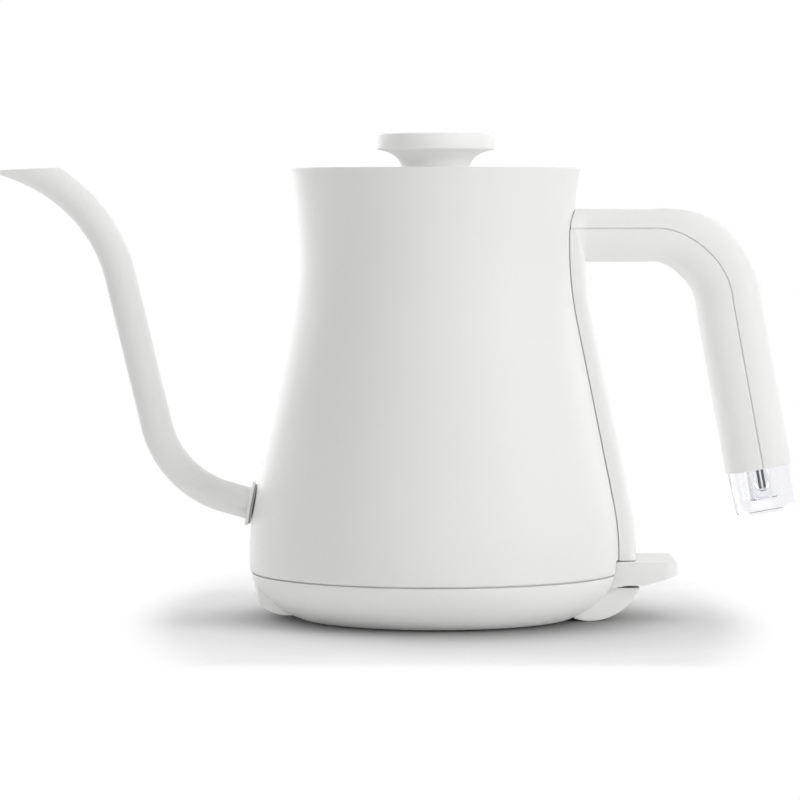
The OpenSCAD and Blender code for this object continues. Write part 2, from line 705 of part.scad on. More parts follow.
// The bar's rings start on the body's skin, as wide as the strip, and even out towards the bend.
bar_at = [0, 0.05, 0.1, 0.15, 0.2, 0.6]; // how far along the bar they stand
function bar_point(u, p) =
    let (z = bar_mid_z + p[1]) [mix(skin_x(z, p[0], fit), bar_x, u), p[0], z];
bar_foot_w = strip_w + 0.35; // just wider than the strip, so that the bar takes its root in
function bar_ring_w(u) = mix(bar_foot_w, bar_w, ease(min(1, u * (bar_x - waist_r) / flare_l)));
module handle_shell(side) {
    loft(concat(
        [for (u = bar_at) let (ring = shell_ring(bar_half, bar_ring_w(u), parting_z - bar_mid_z, side))
            [for (p = reverse(ring)) bar_point(u, p)]],
        [for (s = stations) let (ring = shell_ring(s[2], s[3], s[4], side))
            [for (p = reverse(ring)) at_station(s, p)]]), true);
}

// The strip is a channel against the body's back. Above the bar's underside it goes on as
// the root of the bar, rounding off up to the parting line.
strip_z = lever_z + fit;
strip_steps = 18;
root_steps = 4;
back_d = fit + 0.1; // the root's back stands this far off the skin
back_lip = 0.94; // keeps the root's long edges from running out to nothing
strip_power = 5;
taper_z = 45; // the strip gets shallower from here up
root_z = bar_z - 2.5; // the rounding of its top starts here
channel_top_z = bar_z - 1;
function upto(z, z0, z1) = min(1, max(0, (z - z0) / (z1 - z0)));
function strip_depth(z) = mix(strip_d, strip_top_d, upto(z, taper_z, bar_z))
    * (z > root_z ? sqrt(1 - pow((z - root_z) / root_h, 2)) : 1);
function strip_side(z, t) =
    let (w = mix(strip_foot_w, strip_w, upto(z, strip_z, bar_z)) - t,
        foot = skin_x(z, w, fit), d = body_r(z) + strip_depth(z) - t - foot)
    [for (i = [0:shell_steps]) let (p = section(180 * i / shell_steps, d, w, strip_power))
        [foot + p[1], p[0], z]];
function strip_back(z) =
    [for (p = strip_side(z, 0)) [skin_x(z, back_lip * p[1], back_d), back_lip * p[1], z]];
module strip() {
    top_z = parting_z - parting_gap / 2 - 0.2;
    loft(concat(
        [for (i = [0:strip_steps]) let (z = mix(strip_z, channel_top_z, i / strip_steps))
            concat(strip_side(z, 0), reverse(strip_side(z, strip_wall)))],
        [for (i = [0:root_steps]) let (z = mix(channel_top_z + 0.5, top_z, i / root_steps))
            concat(strip_side(z, 0), reverse(strip_back(z)))]), true);
}

boss_r = 2.8;
boss_h = 1;
handle_screw_x = [waist_r + 8, waist_r + 14.5];
handle_screw_r = 1.1;
bracket_t = 1.5;
bracket_w = 3.4; // half width
bracket_z = bar_z + handle_wall + boss_h;
module handle_inner() {
    duct_w = 7.2;
    duct_h = 3;
    floor_up = handle_wall + 0.6;
    color("white") difference() {
        union() {
            strip();
            handle_shell(-1);
            for (x = handle_screw_x) translate([x, 0, bar_z + handle_wall / 2])
                cylinder(h = boss_h + handle_wall / 2, r = boss_r);
        }
        translate([body_r(bar_z) - eps, -duct_w, bar_z - 3])
            cube([eps + strip_top_d - strip_wall, 2 * duct_w, 3 + duct_h]);
        translate([body_r(bar_z) - eps, -duct_w, bar_z + floor_up])
            cube([eps + strip_top_d + 0.6, 2 * duct_w, handle_top_z - bar_z]);
        for (x = handle_screw_x) translate([x, 0, bar_z + 0.7])
            cylinder(h = handle_wall + boss_h, r = handle_screw_r + weld);
    }
}

module handle_outer() {
    color("white") handle_shell(1);
}

module handle_bracket() {
    plate_h = 12;
    plate_r = max(body_r(bracket_z), body_r(bracket_z + plate_h)) + weld;
    arm_x = handle_screw_x[1] + bracket_w + 0.4;
    color("silver") difference() {
        union() {
            intersection() {
                translate([0, 0, bracket_z]) ring(plate_r, plate_r + bracket_t, plate_h);
                translate([0, -bracket_w, 0]) cube([arm_x, 2 * bracket_w, rim_z]);
            }
            translate([plate_r + bracket_t / 3, -bracket_w, bracket_z])
                cube([arm_x - plate_r - bracket_t / 3, 2 * bracket_w, bracket_t]);
        }
        for (x = handle_screw_x) translate([x, 0, bracket_z - eps])
            cylinder(h = bracket_t + 2 * eps, r = handle_screw_r + 0.2);
    }
}

module handle_screws() {
    color("silver") for (x = handle_screw_x) translate([x, 0, 0]) {
        translate([0, 0, bar_z + 0.9]) cylinder(h = bracket_z + bracket_t - bar_z - 0.9, r = handle_screw_r);
        translate([0, 0, bracket_z + bracket_t]) cylinder(h = 1.4, r = 2 * handle_screw_r);
    }
}

// ---- steam tube and wires ------------------------------------------------
// The middle of the strip's channel at height z.
function in_strip(z, y) = [skin_x(z, y, (strip_depth(min(z, root_z)) - strip_wall + fit) / 2), y, z];
function down_strip(y, z0, z1, n) = [for (i = [0:n]) in_strip(mix(z0, z1, i / n), y)];
switch_top_z = switch_z + switch_box[2];
function port_run(y) = let (x = skin_x(port_z, y, 0), end = switch_x + switch_box[0] * 0.7)
    [[x - 3, y, port_z], [end + 2.4, y, port_z], [end + 0.9, y, port_z - 0.7], [end, y, port_z - 2.5],
     [end, y, switch_top_z]];

module steam_tube() {
    y = port_y;
    x = skin_x(steam_port_z, y, 0);
    color("lightgray") wire(concat(
        [[x - body_wall, y, steam_port_z], [x + 0.7, y, steam_port_z], [x + 1.5, y, steam_port_z - 0.9]],
        down_strip(y, bar_z + 2, port_z + 2.4, 16),
        [[skin_x(port_z, y, 1.2), y, port_z + 0.6], [skin_x(port_z, y, 0.2), y, port_z]],
        port_run(y)), 0.9, 8);
}

module lamp_wires() {
    wire_r = 0.5;
    inside = [for (s = stations) s[0]];
    lead_z = 12.4; // height of the lamp's leads above the grip's end
    free_l = 3.6; // the wires draw together over this length before they reach the leads
    color("gray") for (k = [0, 1]) {
        y = -4.2 - 1.5 * k;
        wire(concat(
            reverse(port_run(y)),
            [[skin_x(port_z, y, 0.4), y, port_z], [skin_x(port_z, y, 1.3), y, port_z + 0.7]],
            down_strip(y, port_z + 2.4, bar_z + 2, 12),
            [[skin_x(bar_z, y, 2.4), y, bar_z + 5], [skin_x(bar_z, y, 5), y, bar_mid_z - 1],
             [skin_x(bar_z, y, 9), y, bar_mid_z]],
            [for (i = [0:2:bend_steps + 2]) [inside[i][0], y, inside[i][1]]],
            [grip_point((1 - 2 * k) * lead_x, y, lead_z + 3.2 * free_l),
             grip_point((1 - 2 * k) * lead_x, y / 4, lead_z + free_l),
             grip_point((1 - 2 * k) * lead_x, 0, lead_z)]), wire_r);
    }
}

// ---- lamp ----------------------------------------------------------------
// At the grip's end, -Z runs out along the grip.
lens_w = grip_w * lens_d / grip_d;
spigot_l = 4;
lead_x = 0.72;
holder_l = 6;
function grip_point(x, y, z) =
    [grip_end[0] - z * grip_dir[0] + x * sin(handle_turn), y,
     grip_end[1] - z * grip_dir[1] + x * cos(handle_turn)];
module at_grip_end() {
    translate([grip_end[0], 0, grip_end[1]]) rotate([0, handle_turn - 90, 0]) children();
}
function oval(half, w, n) =
    [for (i = [0:n - 1]) let (p = section(360 * i / n, half, w, round_power)) [p[1], p[0]]];
function oval_ring(half, w, z) = [for (p = oval(half, w, 48)) [p[0], p[1], z]];

module lamp_holder() {
    half = grip_d / 2 - handle_wall - fit;
    color("white") at_grip_end() difference() {
        translate([0, 0, spigot_l + 0.2]) linear_extrude(holder_l)
            polygon(oval(half, grip_w - handle_wall - fit, 48));
        translate([0, 0, spigot_l - eps]) cylinder(h = 2.6 + eps, r = bulb_d / 2 + weld);
        for (side = [-1, 1]) translate([side * lead_x, 0, spigot_l]) cylinder(h = 2 * holder_l, r = 0.4);
    }
}

module neon_bulb() {
    glass_t = 0.4;
    r = bulb_d / 2;
    top = spigot_l + 2.5;
    bead = 2;
    color("lightgray") at_grip_end() difference() {
        rotate_extrude() difference() {
            union() {
                translate([0, r - bulb_out]) square([r, top + bulb_out - r]);
                intersection() {
                    translate([0, r - bulb_out]) circle(r = r);
                    translate([0, -bulb_out]) square([r, r]);
                }
            }
            translate([0, r - bulb_out]) square([r - glass_t, top - bead + bulb_out - r]);
            intersection() {
                translate([0, r - bulb_out]) circle(r = r - glass_t);
                translate([0, -bulb_out]) square([r, r]);
            }
        }
        for (side = [-1, 1]) translate([side * lead_x, 0, 0]) cylinder(h = 2 * holder_l, r = 0.3);
    }
}

module neon_electrodes() {
    rod_z = 1.7 - bulb_out;
    rod_l = 6.1;
    lead_l = 20 - bulb_out;
    color("dimgray") at_grip_end() for (side = [-1, 1]) translate([side * lead_x, 0, rod_z]) {
        cylinder(h = rod_l, r = 0.42);
        translate([0, 0, rod_l]) cylinder(h = lead_l, r = 0.25);
    }
}

module lamp_lens() {
    half = lens_d / 2;
    end_half = lens_end_d / 2;
    end_w = lens_w * lens_end_d / lens_d;
    neck = handle_wall + 0.1;
    color("lightcyan") at_grip_end() difference() {
        union() {
            loft([oval_ring(end_half - 0.9, end_w - 0.9, -lens_l),
                oval_ring(end_half - 0.25, end_w - 0.25, 0.25 - lens_l),
                oval_ring(end_half, end_w, 0.8 - lens_l), oval_ring(half, lens_w, 0)]);
            translate([0, 0, -0.5]) linear_extrude(spigot_l + 0.5)
                polygon(oval(grip_d / 2 - neck, grip_w - neck, 48));
        }
        translate([0, 0, -pocket_l]) cylinder(h = pocket_l + 2 * spigot_l, d = pocket_d);
    }
}

// ---- lid -----------------------------------------------------------------
lid_top_z = rim_z - lid_sunk;
cap_t = 1.2;
sheet_t = 0.6;
seal_z = ledge_z + fit;
seal_t = 0.6;
flange_z = seal_z + seal_t;
liner_z = flange_z + sheet_t - liner_h;
cap_under_z = lid_top_z - cap_t;
knob_screw_r = 2;
knob_bore_l = 7;

module lid_cap() {
    skirt_t = 1.2;
    color("white") rotate_extrude($fn = round_fn) polygon([
        [knob_screw_r + 0.2, cap_under_z], [knob_screw_r + 0.2, lid_top_z],
        [lid_r - 0.6, lid_top_z], [lid_r, lid_top_z - 0.6],
        [lid_r, flange_z + 0.1], [lid_r - skirt_t, flange_z + 0.1], [lid_r - skirt_t, cap_under_z]]);
}

module lid_liner() {
    vent_r = 2;
    vents = 8;
    flange_r = lid_r - 1.3;
    color("silver") difference() {
        rotate_extrude($fn = round_fn) polygon([[0, liner_z], [liner_r - 1, liner_z], [liner_r, liner_z + 1],
            [liner_r, flange_z], [flange_r, flange_z], [flange_r, flange_z + sheet_t],
            [liner_r - sheet_t, flange_z + sheet_t], [liner_r - sheet_t, liner_z + 1.2],
            [liner_r - 1.2, liner_z + sheet_t], [0, liner_z + sheet_t]]);
        for (i = [0:vents - 1]) rotate([0, 0, 360 * i / vents]) translate([liner_r * 0.8, 0, liner_z - eps])
            cylinder(h = sheet_t + 2 * eps, r = vent_r);
    }
}

module lid_seal() {
    color("lightgray") translate([0, 0, seal_z]) ring(liner_r + 0.1, lid_r - 0.4, seal_t);
}

module lid_knob() {
    top = rim_z + knob_h;
    disc_z = top - knob_t;
    e = knob_edge;
    color("white") difference() {
        rotate_extrude($fn = round_fn) polygon(concat(
            [[0, lid_top_z]],
            curve([[knob_neck_r, lid_top_z], [knob_neck_r, disc_z - 3.1], [knob_r - 5.6, disc_z - 0.7],
                [knob_r - e, disc_z]], 12),
            [for (a = [-67.5:22.5:0]) [knob_r - e, disc_z + e] + e * [cos(a), sin(a)]],
            [for (a = [0:22.5:90]) [knob_r - e, top - e] + e * [cos(a), sin(a)]],
            [[0, top]]));
        translate([0, 0, lid_top_z - eps]) cylinder(h = knob_bore_l + eps, r = knob_screw_r + weld);
    }
}

module lid_screw() {
    head_h = 2;
    color("silver") {
        translate([0, 0, cap_under_z - head_h]) cylinder(h = head_h, r = 2 * knob_screw_r);
        translate([0, 0, cap_under_z]) cylinder(h = cap_t + knob_bore_l - 0.5, r = knob_screw_r);
    }
}

body_shell();
vessel_floor();
heat_spreader();
heater_coil();
base_pillars();
control_housing();
coupler_contacts();
bimetal_disc();
base_cover();
foot_pads();
base_screws();
steam_switch();
steam_tube();
switch_lever();
lever_pin();
lever_spring();
spout_tube();
spout_collar();
spout_seal();
handle_inner();
handle_outer();
handle_bracket();
handle_screws();
lamp_wires();
lamp_holder();
neon_bulb();
neon_electrodes();
lamp_lens();
lid_cap();
lid_liner();
lid_seal();
lid_knob();
lid_screw();
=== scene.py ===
import bpy, bmesh, math
from mathutils import Matrix, Vector


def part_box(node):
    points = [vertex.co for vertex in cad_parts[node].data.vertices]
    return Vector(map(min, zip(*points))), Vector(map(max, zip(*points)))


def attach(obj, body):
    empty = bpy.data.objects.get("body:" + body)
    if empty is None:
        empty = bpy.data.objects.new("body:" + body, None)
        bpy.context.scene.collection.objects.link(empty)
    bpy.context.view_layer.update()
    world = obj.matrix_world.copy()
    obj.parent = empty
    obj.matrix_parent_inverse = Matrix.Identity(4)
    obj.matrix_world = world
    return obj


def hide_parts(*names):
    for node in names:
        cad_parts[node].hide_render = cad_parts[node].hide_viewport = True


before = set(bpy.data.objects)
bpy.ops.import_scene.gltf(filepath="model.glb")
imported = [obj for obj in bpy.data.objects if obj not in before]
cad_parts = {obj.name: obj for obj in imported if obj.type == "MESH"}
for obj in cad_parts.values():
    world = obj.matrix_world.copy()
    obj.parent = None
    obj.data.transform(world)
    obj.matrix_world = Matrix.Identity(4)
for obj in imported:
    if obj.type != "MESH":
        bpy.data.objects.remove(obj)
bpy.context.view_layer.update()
mm = 0.001  # sizes below are in millimetres, and meshes are written in metres
bodySteps, lidSteps = 288, 256  # flats round the kettle's body and its lid
past, above = 120, 40  # how far out and how high the cutting blocks reach

def linear(hexText):
    parts = [int(hexText[i:i + 2], 16) / 255 for i in (1, 3, 5)]
    return tuple(c / 12.92 if c <= 0.04045 else ((c + 0.055) / 1.055) ** 2.4 for c in parts) + (1.0,)

# adds a node: given maps input names to source sockets or to plain values
def addNode(tree, kind, given=None, **settings):
    node = tree.nodes.new(kind)
    for key, value in settings.items():
        setattr(node, key, value)
    for key, item in (given or {}).items():
        if isinstance(item, bpy.types.NodeSocket):
            tree.links.new(item, node.inputs[key])
        else:
            node.inputs[key].default_value = item
    return node

# the result of a Math node, from sockets or plain numbers
def calc(tree, operation, *given):
    return addNode(tree, "ShaderNodeMath", dict(enumerate(given)), operation=operation).outputs["Value"]

# the result of a Map Range node, which takes the range start to the range end
def remap(tree, source, start=(0, 1), end=(0, 1), **settings):
    names = ("Value", "From Min", "From Max", "To Min", "To Max")
    given = dict(zip(names, (source, *start, *end)))
    return addNode(tree, "ShaderNodeMapRange", given, **settings).outputs["Result"]

def mix(a, b, t):
    return a + (b - a) * t

def ease(t):
    t = min(1, max(0, t))
    return t * t * (3 - 2 * t)

def turnBy(degrees):
    a = math.radians(degrees)
    return math.cos(a), math.sin(a)

# points along the curve that four control points draw
def curveThrough(p, n):
    points = []
    for i in range(n + 1):
        t = i / n
        k = ((1 - t) ** 3, 3 * t * (1 - t) ** 2, 3 * t * t * (1 - t), t ** 3)
        points.append(tuple(sum(w * q[axis] for w, q in zip(k, p)) for axis in (0, 1)))
    return points

def arc(c, r, a0, a1, n):
    turns = [turnBy(mix(a0, a1, i / n)) for i in range(n + 1)]
    return [(c[0] + r * x, c[1] + r * y) for x, y in turns]

def addObject(name, data):
    thing = bpy.data.objects.new(name, data)
    bpy.context.scene.collection.objects.link(thing)
    return thing

def addMesh(name, points, edges, faces):
    mesh = bpy.data.meshes.new(name)
    mesh.from_pydata([tuple(v * mm for v in p) for p in points], edges, faces)
    return addObject(name, mesh)

# merges what touches, turns the faces outwards and marks the sharp edges
def tidyUp(piece, smoothAngle=35, touching=2e-6):
    work = bmesh.new()
    work.from_mesh(piece.data)
    bmesh.ops.remove_doubles(work, verts=work.verts, dist=touching)
    bmesh.ops.dissolve_degenerate(work, edges=work.edges, dist=touching)
    bmesh.ops.recalc_face_normals(work, faces=work.faces)
    work.to_mesh(piece.data)
    work.free()
    piece.data.shade_smooth()
    piece.data.set_sharp_from_angle(angle=math.radians(smoothAngle))

def makePiece(name, points, faces, smoothAngle=35):
    piece = addMesh(name, points, [], faces)
    tidyUp(piece, smoothAngle)
    return piece

# turns a closed outline of (radius, height) points round the Z axis
def revolve(name, outline, around=180):
    n = len(outline)
    points = []
    for k in range(around):
        x, y = turnBy(360 * k / around)
        points += [(r * x, r * y, z) for r, z in outline]
    faces = []
    for k in range(around):
        a, b = k * n, ((k + 1) % around) * n
        faces += [(a + i, b + i, b + (i + 1) % n, a + (i + 1) % n) for i in range(n)]
    return makePiece(name, points, faces)

# skins a row of rings that all have the same number of points
def loft(name, rings, smoothAngle=35):
    n = len(rings[0])
    points = [p for ring in rings for p in ring]
    faces = [(i * n + j, i * n + (j + 1) % n, (i + 1) * n + (j + 1) % n, (i + 1) * n + j)
             for i in range(len(rings) - 1) for j in range(n)]
    faces += [tuple(range(n)), tuple(range(len(points) - n, len(points)))]
    return makePiece(name, points, faces, smoothAngle)

def block(name, low, high):
    rings = [[(x, low[1], low[2]), (x, high[1], low[2]), (x, high[1], high[2]), (x, low[1], high[2])]
             for x in (low[0], high[0])]
    return loft(name, rings)

def rod(name, start, end, radius, around=48):
    a, b = Vector(start), Vector(end)
    side = (b - a).orthogonal().normalized()
    up = (b - a).normalized().cross(side)
    ring = [radius * (x * side + y * up) for x, y in (turnBy(360 * k / around) for k in range(around))]
    return loft(name, [[tuple(c + v) for v in ring] for c in (a, b)])

# turns the piece about an axis, then moves it
def shift(piece, x=0, z=0, degrees=0, axis="Y"):
    turned = Matrix.Rotation(math.radians(degrees), 4, axis)
    piece.data.transform(Matrix.Translation((x * mm, 0, z * mm)) @ turned)
    return piece

# turns the live modifiers into a plain mesh
def settle(piece):
    graph = bpy.context.evaluated_depsgraph_get()
    mesh = bpy.data.meshes.new_from_object(piece.evaluated_get(graph))
    piece.modifiers.clear()
    piece.data = mesh

def combine(target, tool, operation="DIFFERENCE", smoothAngle=35):
    cut = target.modifiers.new("cut", "BOOLEAN")
    cut.operation, cut.object, cut.solver = operation, tool, "EXACT"
    settle(target)
    bpy.data.objects.remove(tool)
    tidyUp(target, smoothAngle)

def join(parts):
    for extra in parts[1:]:
        combine(parts[0], extra, "UNION")
    return parts[0]

def roundEdges(piece, width, segments=3, angle=40, smoothAngle=35):
    bevel = piece.modifiers.new("bevel", "BEVEL")
    bevel.width, bevel.segments = width * mm, segments
    bevel.limit_method, bevel.angle_limit = "ANGLE", math.radians(angle)
    settle(piece)
    tidyUp(piece, smoothAngle)

# a Geometry Nodes tree, which endTree closes with Realize Instances and Set Material
def newTree(name, sizes):
    tree = bpy.data.node_groups.new(name, "GeometryNodeTree")
    tree.interface.new_socket("Geometry", in_out="INPUT", socket_type="NodeSocketGeometry")
    for label, kind in sizes.items():
        tree.interface.new_socket(label, in_out="INPUT", socket_type="NodeSocket" + kind)
    tree.interface.new_socket("Material", in_out="INPUT", socket_type="NodeSocketMaterial")
    tree.interface.new_socket("Geometry", in_out="OUTPUT", socket_type="NodeSocketGeometry")
    return tree, addNode(tree, "NodeGroupInput").outputs

def endTree(tree, given, geometry):
    real = addNode(tree, "GeometryNodeRealizeInstances", {"Geometry": geometry})
    painted = addNode(tree, "GeometryNodeSetMaterial",
        {"Geometry": real.outputs["Geometry"], "Material": given["Material"]})
    addNode(tree, "NodeGroupOutput", {"Geometry": painted.outputs["Geometry"]})

def grow(piece, tree, **values):
    modifier = piece.modifiers.new("grow", "NODES")
    modifier.node_group = tree
    labels = {item.name.replace(" ", ""): item.identifier
              for item in tree.interface.items_tree if item.in_out == "INPUT"}
    for label, value in values.items():
        modifier[labels[label]] = value
    settle(piece)
    tidyUp(piece)
    return piece

# copies the piece round the Z axis, each copy turned as it goes
def makeRingTree():
    tree, given = newTree("copiesRound", {"Count": "Int", "Radius": "Float", "Start": "Float"})
    index = addNode(tree, "GeometryNodeInputIndex").outputs["Index"]
    step = calc(tree, "DIVIDE", 2 * math.pi, given["Count"])
    angle = calc(tree, "MULTIPLY_ADD", index, step, given["Start"])
    parts = {axis: calc(tree, "MULTIPLY", calc(tree, wave, angle), given["Radius"])
        for axis, wave in (("X", "COSINE"), ("Y", "SINE"))}
    where = addNode(tree, "ShaderNodeCombineXYZ", parts)
    turn = addNode(tree, "ShaderNodeCombineXYZ", {"Z": angle})
    spots = addNode(tree, "GeometryNodePoints",
        {"Count": given["Count"], "Position": where.outputs["Vector"]})
    copies = addNode(tree, "GeometryNodeInstanceOnPoints", {"Points": spots.outputs["Geometry"],
        "Instance": given["Geometry"], "Rotation": turn.outputs["Vector"]})
    endTree(tree, given, copies.outputs["Instances"])
    return tree

# sweeps a round section along the piece, which is a bare path of points
def makeSweepTree():
    tree, given = newTree("roundSweep", {"Radius": "Float", "Sides": "Int"})
    path = addNode(tree, "GeometryNodeMeshToCurve", {"Mesh": given["Geometry"]})
    section = addNode(tree, "GeometryNodeCurvePrimitiveCircle",
        {"Resolution": given["Sides"], "Radius": given["Radius"]})
    swept = addNode(tree, "GeometryNodeCurveToMesh", {"Curve": path.outputs["Curve"],
        "Profile Curve": section.outputs["Curve"], "Fill Caps": True})
    endTree(tree, given, swept.outputs["Mesh"])
    return tree

ringTree, sweepTree = makeRingTree(), makeSweepTree()

def copiesRound(piece, count, radius, start=0.0, material=None):
    return grow(piece, ringTree, Count=count, Radius=radius * mm, Start=math.radians(start), Material=material)

def sweep(name, points, radius, sides, material=None):
    path = addMesh(name, points, [(i, i + 1) for i in range(len(points) - 1)], [])
    return grow(path, sweepTree, Radius=radius * mm, Sides=sides, Material=material)

print("helpers ready")

# the body's outline: belly arc and waist arc joined by their common tangent, then the rim's flare
outline = {"rimZ": 152.1, "rimR": 48.8, "waistR": 46.5, "waistZ": 126, "bellyR": 63, "bellyZ": 22,
    "bellyBend": 90, "waistBend": 128, "seamZ": 16, "seamEdge": 0.4, "sheet": 0.8}
rimZ, rimR, waistR, waistZ, bellyR, bellyZ, bellyBend, waistBend, seamZ, seamEdge, sheet = outline.values()
bellyC = bellyR - bellyBend
waistC = waistR + waistBend
rise, run = waistZ - bellyZ, waistC - bellyC
bendSum = bellyBend + waistBend
flankA = math.atan2(rise, run) - math.acos(bendSum / math.hypot(run, rise))
flankR = bellyC + bellyBend * math.cos(flankA)
flankZ = bellyZ + bellyBend * math.sin(flankA)
flankTopZ = waistZ - waistBend * math.sin(flankA)
flare = rimR - waistR
flareBend = ((rimZ - waistZ) ** 2 + flare ** 2) / (2 * flare)

# the body's radius at a height, and the skin's x at a height and a width
def bodyR(z):
    if z < flankZ:
        return bellyC + math.sqrt(bellyBend ** 2 - (z - bellyZ) ** 2)
    if z < flankTopZ:
        return flankR - (z - flankZ) * math.tan(flankA)
    if z < waistZ:
        return waistC - math.sqrt(waistBend ** 2 - (z - waistZ) ** 2)
    return waistR + flareBend - math.sqrt(flareBend ** 2 - (z - waistZ) ** 2)

def skinX(z, y, out=0.0):
    return math.sqrt((bodyR(z) + out) ** 2 - y * y)

def addSpeckle(tree, where, cellMm):
    scale = 1 / (cellMm * mm)
    return addNode(tree, "ShaderNodeTexNoise", {"Vector": where, "Scale": scale, "Detail": 2.0}).outputs["Fac"]

def newMaterial(name):
    material = bpy.data.materials.new(name)
    material.use_nodes = True
    tree = material.node_tree
    return material, tree, tree.nodes["Principled BSDF"], addNode(tree, "ShaderNodeTexCoord").outputs["Object"]

# colours the shader by a mix of two shades or sockets
def mixColour(tree, shader, factor, a, b, **settings):
    blend = addNode(tree, "ShaderNodeMix", {"Factor": factor, "A": a, "B": b}, data_type="RGBA", **settings)
    tree.links.new(next(s for s in blend.outputs if s.type == "RGBA"), shader.inputs["Base Color"])

noiseSpan = (0.3, 0.7)  # where nearly all of a noise texture's values lie

# colours: two close shades that a soft noise mixes. roughness: its low and high value.
# grain: (size of one bump, its height) pairs in mm. turned: marks that run round the Z axis.
def makeMaterial(name, colours, roughness, grain=(), patchMm=14, inputs=None, turned=False):
    material, tree, shader, where = newMaterial(name)
    mixColour(tree, shader, addSpeckle(tree, where, patchMm), *map(linear, colours))
    if turned:
        parts = addNode(tree, "ShaderNodeSeparateXYZ", {"Vector": where})
        flat = addNode(tree, "ShaderNodeCombineXYZ", {"X": parts.outputs["X"], "Y": parts.outputs["Y"]})
        radius = addNode(tree, "ShaderNodeVectorMath", {0: flat.outputs["Vector"]}, operation="LENGTH")
        where = addNode(tree, "ShaderNodeCombineXYZ",
            {"X": radius.outputs["Value"], "Y": parts.outputs["Z"]}).outputs["Vector"]
    normal = None
    for cellMm, heightMm in grain:
        speckle = addSpeckle(tree, where, cellMm)
        bump = addNode(tree, "ShaderNodeBump", {"Height": speckle, "Distance": heightMm * mm})
        if normal:
            tree.links.new(normal, bump.inputs["Normal"])
        normal = bump.outputs["Normal"]
    if normal:
        tree.links.new(normal, shader.inputs["Normal"])
        gloss = remap(tree, speckle, noiseSpan, roughness)
        tree.links.new(gloss, shader.inputs["Roughness"])
    else:
        shader.inputs["Roughness"].default_value = sum(roughness) / 2
    for key, value in (inputs or {}).items():
        shader.inputs[key].default_value = value
    return material

metal, softSheen = {"Metallic": 1.0}, {"Specular IOR Level": 0.43}
# polyester powder on steel: satin white, with a slow orange peel under a fine grain
powderCoat = makeMaterial("powderCoat", ("#F1F1F0", "#EEEEED"), (0.46, 0.58),
    ((2.6, 0.006), (0.45, 0.003)), 40, softSheen)
# moulded ABS from a spark-eroded tool: a duller white, its 0.1 mm pits drawn at 0.4 mm so that they show
sparkErodedAbs = makeMaterial("sparkErodedAbs", ("#F4F4F3", "#F1F1F0"), (0.52, 0.64),
    ((0.9, 0.004), (0.4, 0.006)), 30, softSheen)
# ABS from a polished tool, on the knob: the whitest of the three, with a closer shine
polishedAbs = makeMaterial("polishedAbs", ("#FCFCFB", "#F9F9F8"), (0.44, 0.54), ((1.4, 0.003),), 12,
    softSheen)
# moulded silicone rubber: soft grey, almost without gloss
greySilicone = makeMaterial("greySilicone", ("#BEBEBB", "#B4B4B1"), (0.58, 0.7), ((0.8, 0.004),), 6)
# 18/8 stainless, spun and brushed round its axis: lines 0.1 mm apart, drawn at 0.5 mm
brushedSteel = makeMaterial("brushedSteel", ("#CBCCCD", "#C0C1C3"), (0.24, 0.38),
    ((2.2, 0.004), (0.5, 0.003)), 12, metal, True)
# zinc-plated steel of screws, springs and brackets: a cool shine, slightly cloudy
zincPlate = makeMaterial("zincPlate", ("#C3C6CA", "#B4B8BD"), (0.28, 0.42), ((0.7, 0.003),), 3, metal)
# sand-cast aluminium: matt grey with a coarse skin
castAluminium = makeMaterial("castAluminium", ("#B7B9BB", "#A6A8AB"), (0.4, 0.55), ((0.9, 0.014),), 5, metal)
# drawn brass contact rings, rubbed bright in lines round the axis
contactBrass = makeMaterial("contactBrass", ("#CBA654", "#BD9748"), (0.2, 0.34), ((0.6, 0.004),), 3,
    metal, True)
# glass-filled polyamide: near black, its fibres show as a faint dry mottle
blackPolyamide = makeMaterial("blackPolyamide", ("#2E2E30", "#242426"), (0.46, 0.62), ((0.5, 0.008),), 1.5)
# varnished glass-fibre sleeve over the lamp's wires
wireSheath = makeMaterial("wireSheath", ("#D4D4CE", "#C0C0BA"), (0.5, 0.66), ((0.4, 0.02),), 0.8)
# nickel electrodes of a neon lamp: dark grey and sooty
nickelRod = makeMaterial("nickelRod", ("#6A6967", "#565553"), (0.4, 0.55), ((0.3, 0.004),), 0.8, metal)
# thin drawn soda glass: clear, with a slow ripple. Its index is low, as so thin a wall bends little light.
bulbGlass = makeMaterial("bulbGlass", ("#FBFCFC", "#F6F8F8"), (0.02, 0.04), ((3.0, 0.01),), 5,
    {"Transmission Weight": 1.0, "IOR": 1.2})
# injection-moulded clear acrylic: polished, with faint flow lines and a trace of grey
clearAcrylic = makeMaterial("clearAcrylic", ("#F6F6F9", "#F1F1F5"), (0.03, 0.06), ((5.0, 0.012),), 8,
    {"Transmission Weight": 1.0, "IOR": 1.49})

def dress(piece, material):
    piece.data.materials.clear()
    piece.data.materials.append(material)

def place(piece, material, node, body="kettle"):
    dress(piece, material)
    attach(piece, body)
    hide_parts(node)

print("materials ready")

lever = {"pinX": 54.5, "pinZ": 13.9, "pinR": 1.2, "pinOut": 0.4, "pinEdge": 0.25, "pinPlay": 0.06,
    "halfWidth": 17.5, "topZ": 20, "tipX": 81.4, "tipT": 4.7, "cornerR": 5, "play": 0.5, "cheekX": 56,
    "cheekZ": 10.7, "cheekPlay": 0.4, "earPlay": 0.9, "swingPlay": 0.3, "skirtZ": 12.2, "skirtOut": 1.2,
    "skirtIn": 4.3, "tipEdge": 1.2, "rounding": 0.5, "hubR": 3.4, "hubY": (-5.9, 3)}
pinX, pinZ = lever["pinX"], lever["pinZ"]
slotW, slotTopZ = lever["halfWidth"] + lever["play"], lever["topZ"] + lever["play"]

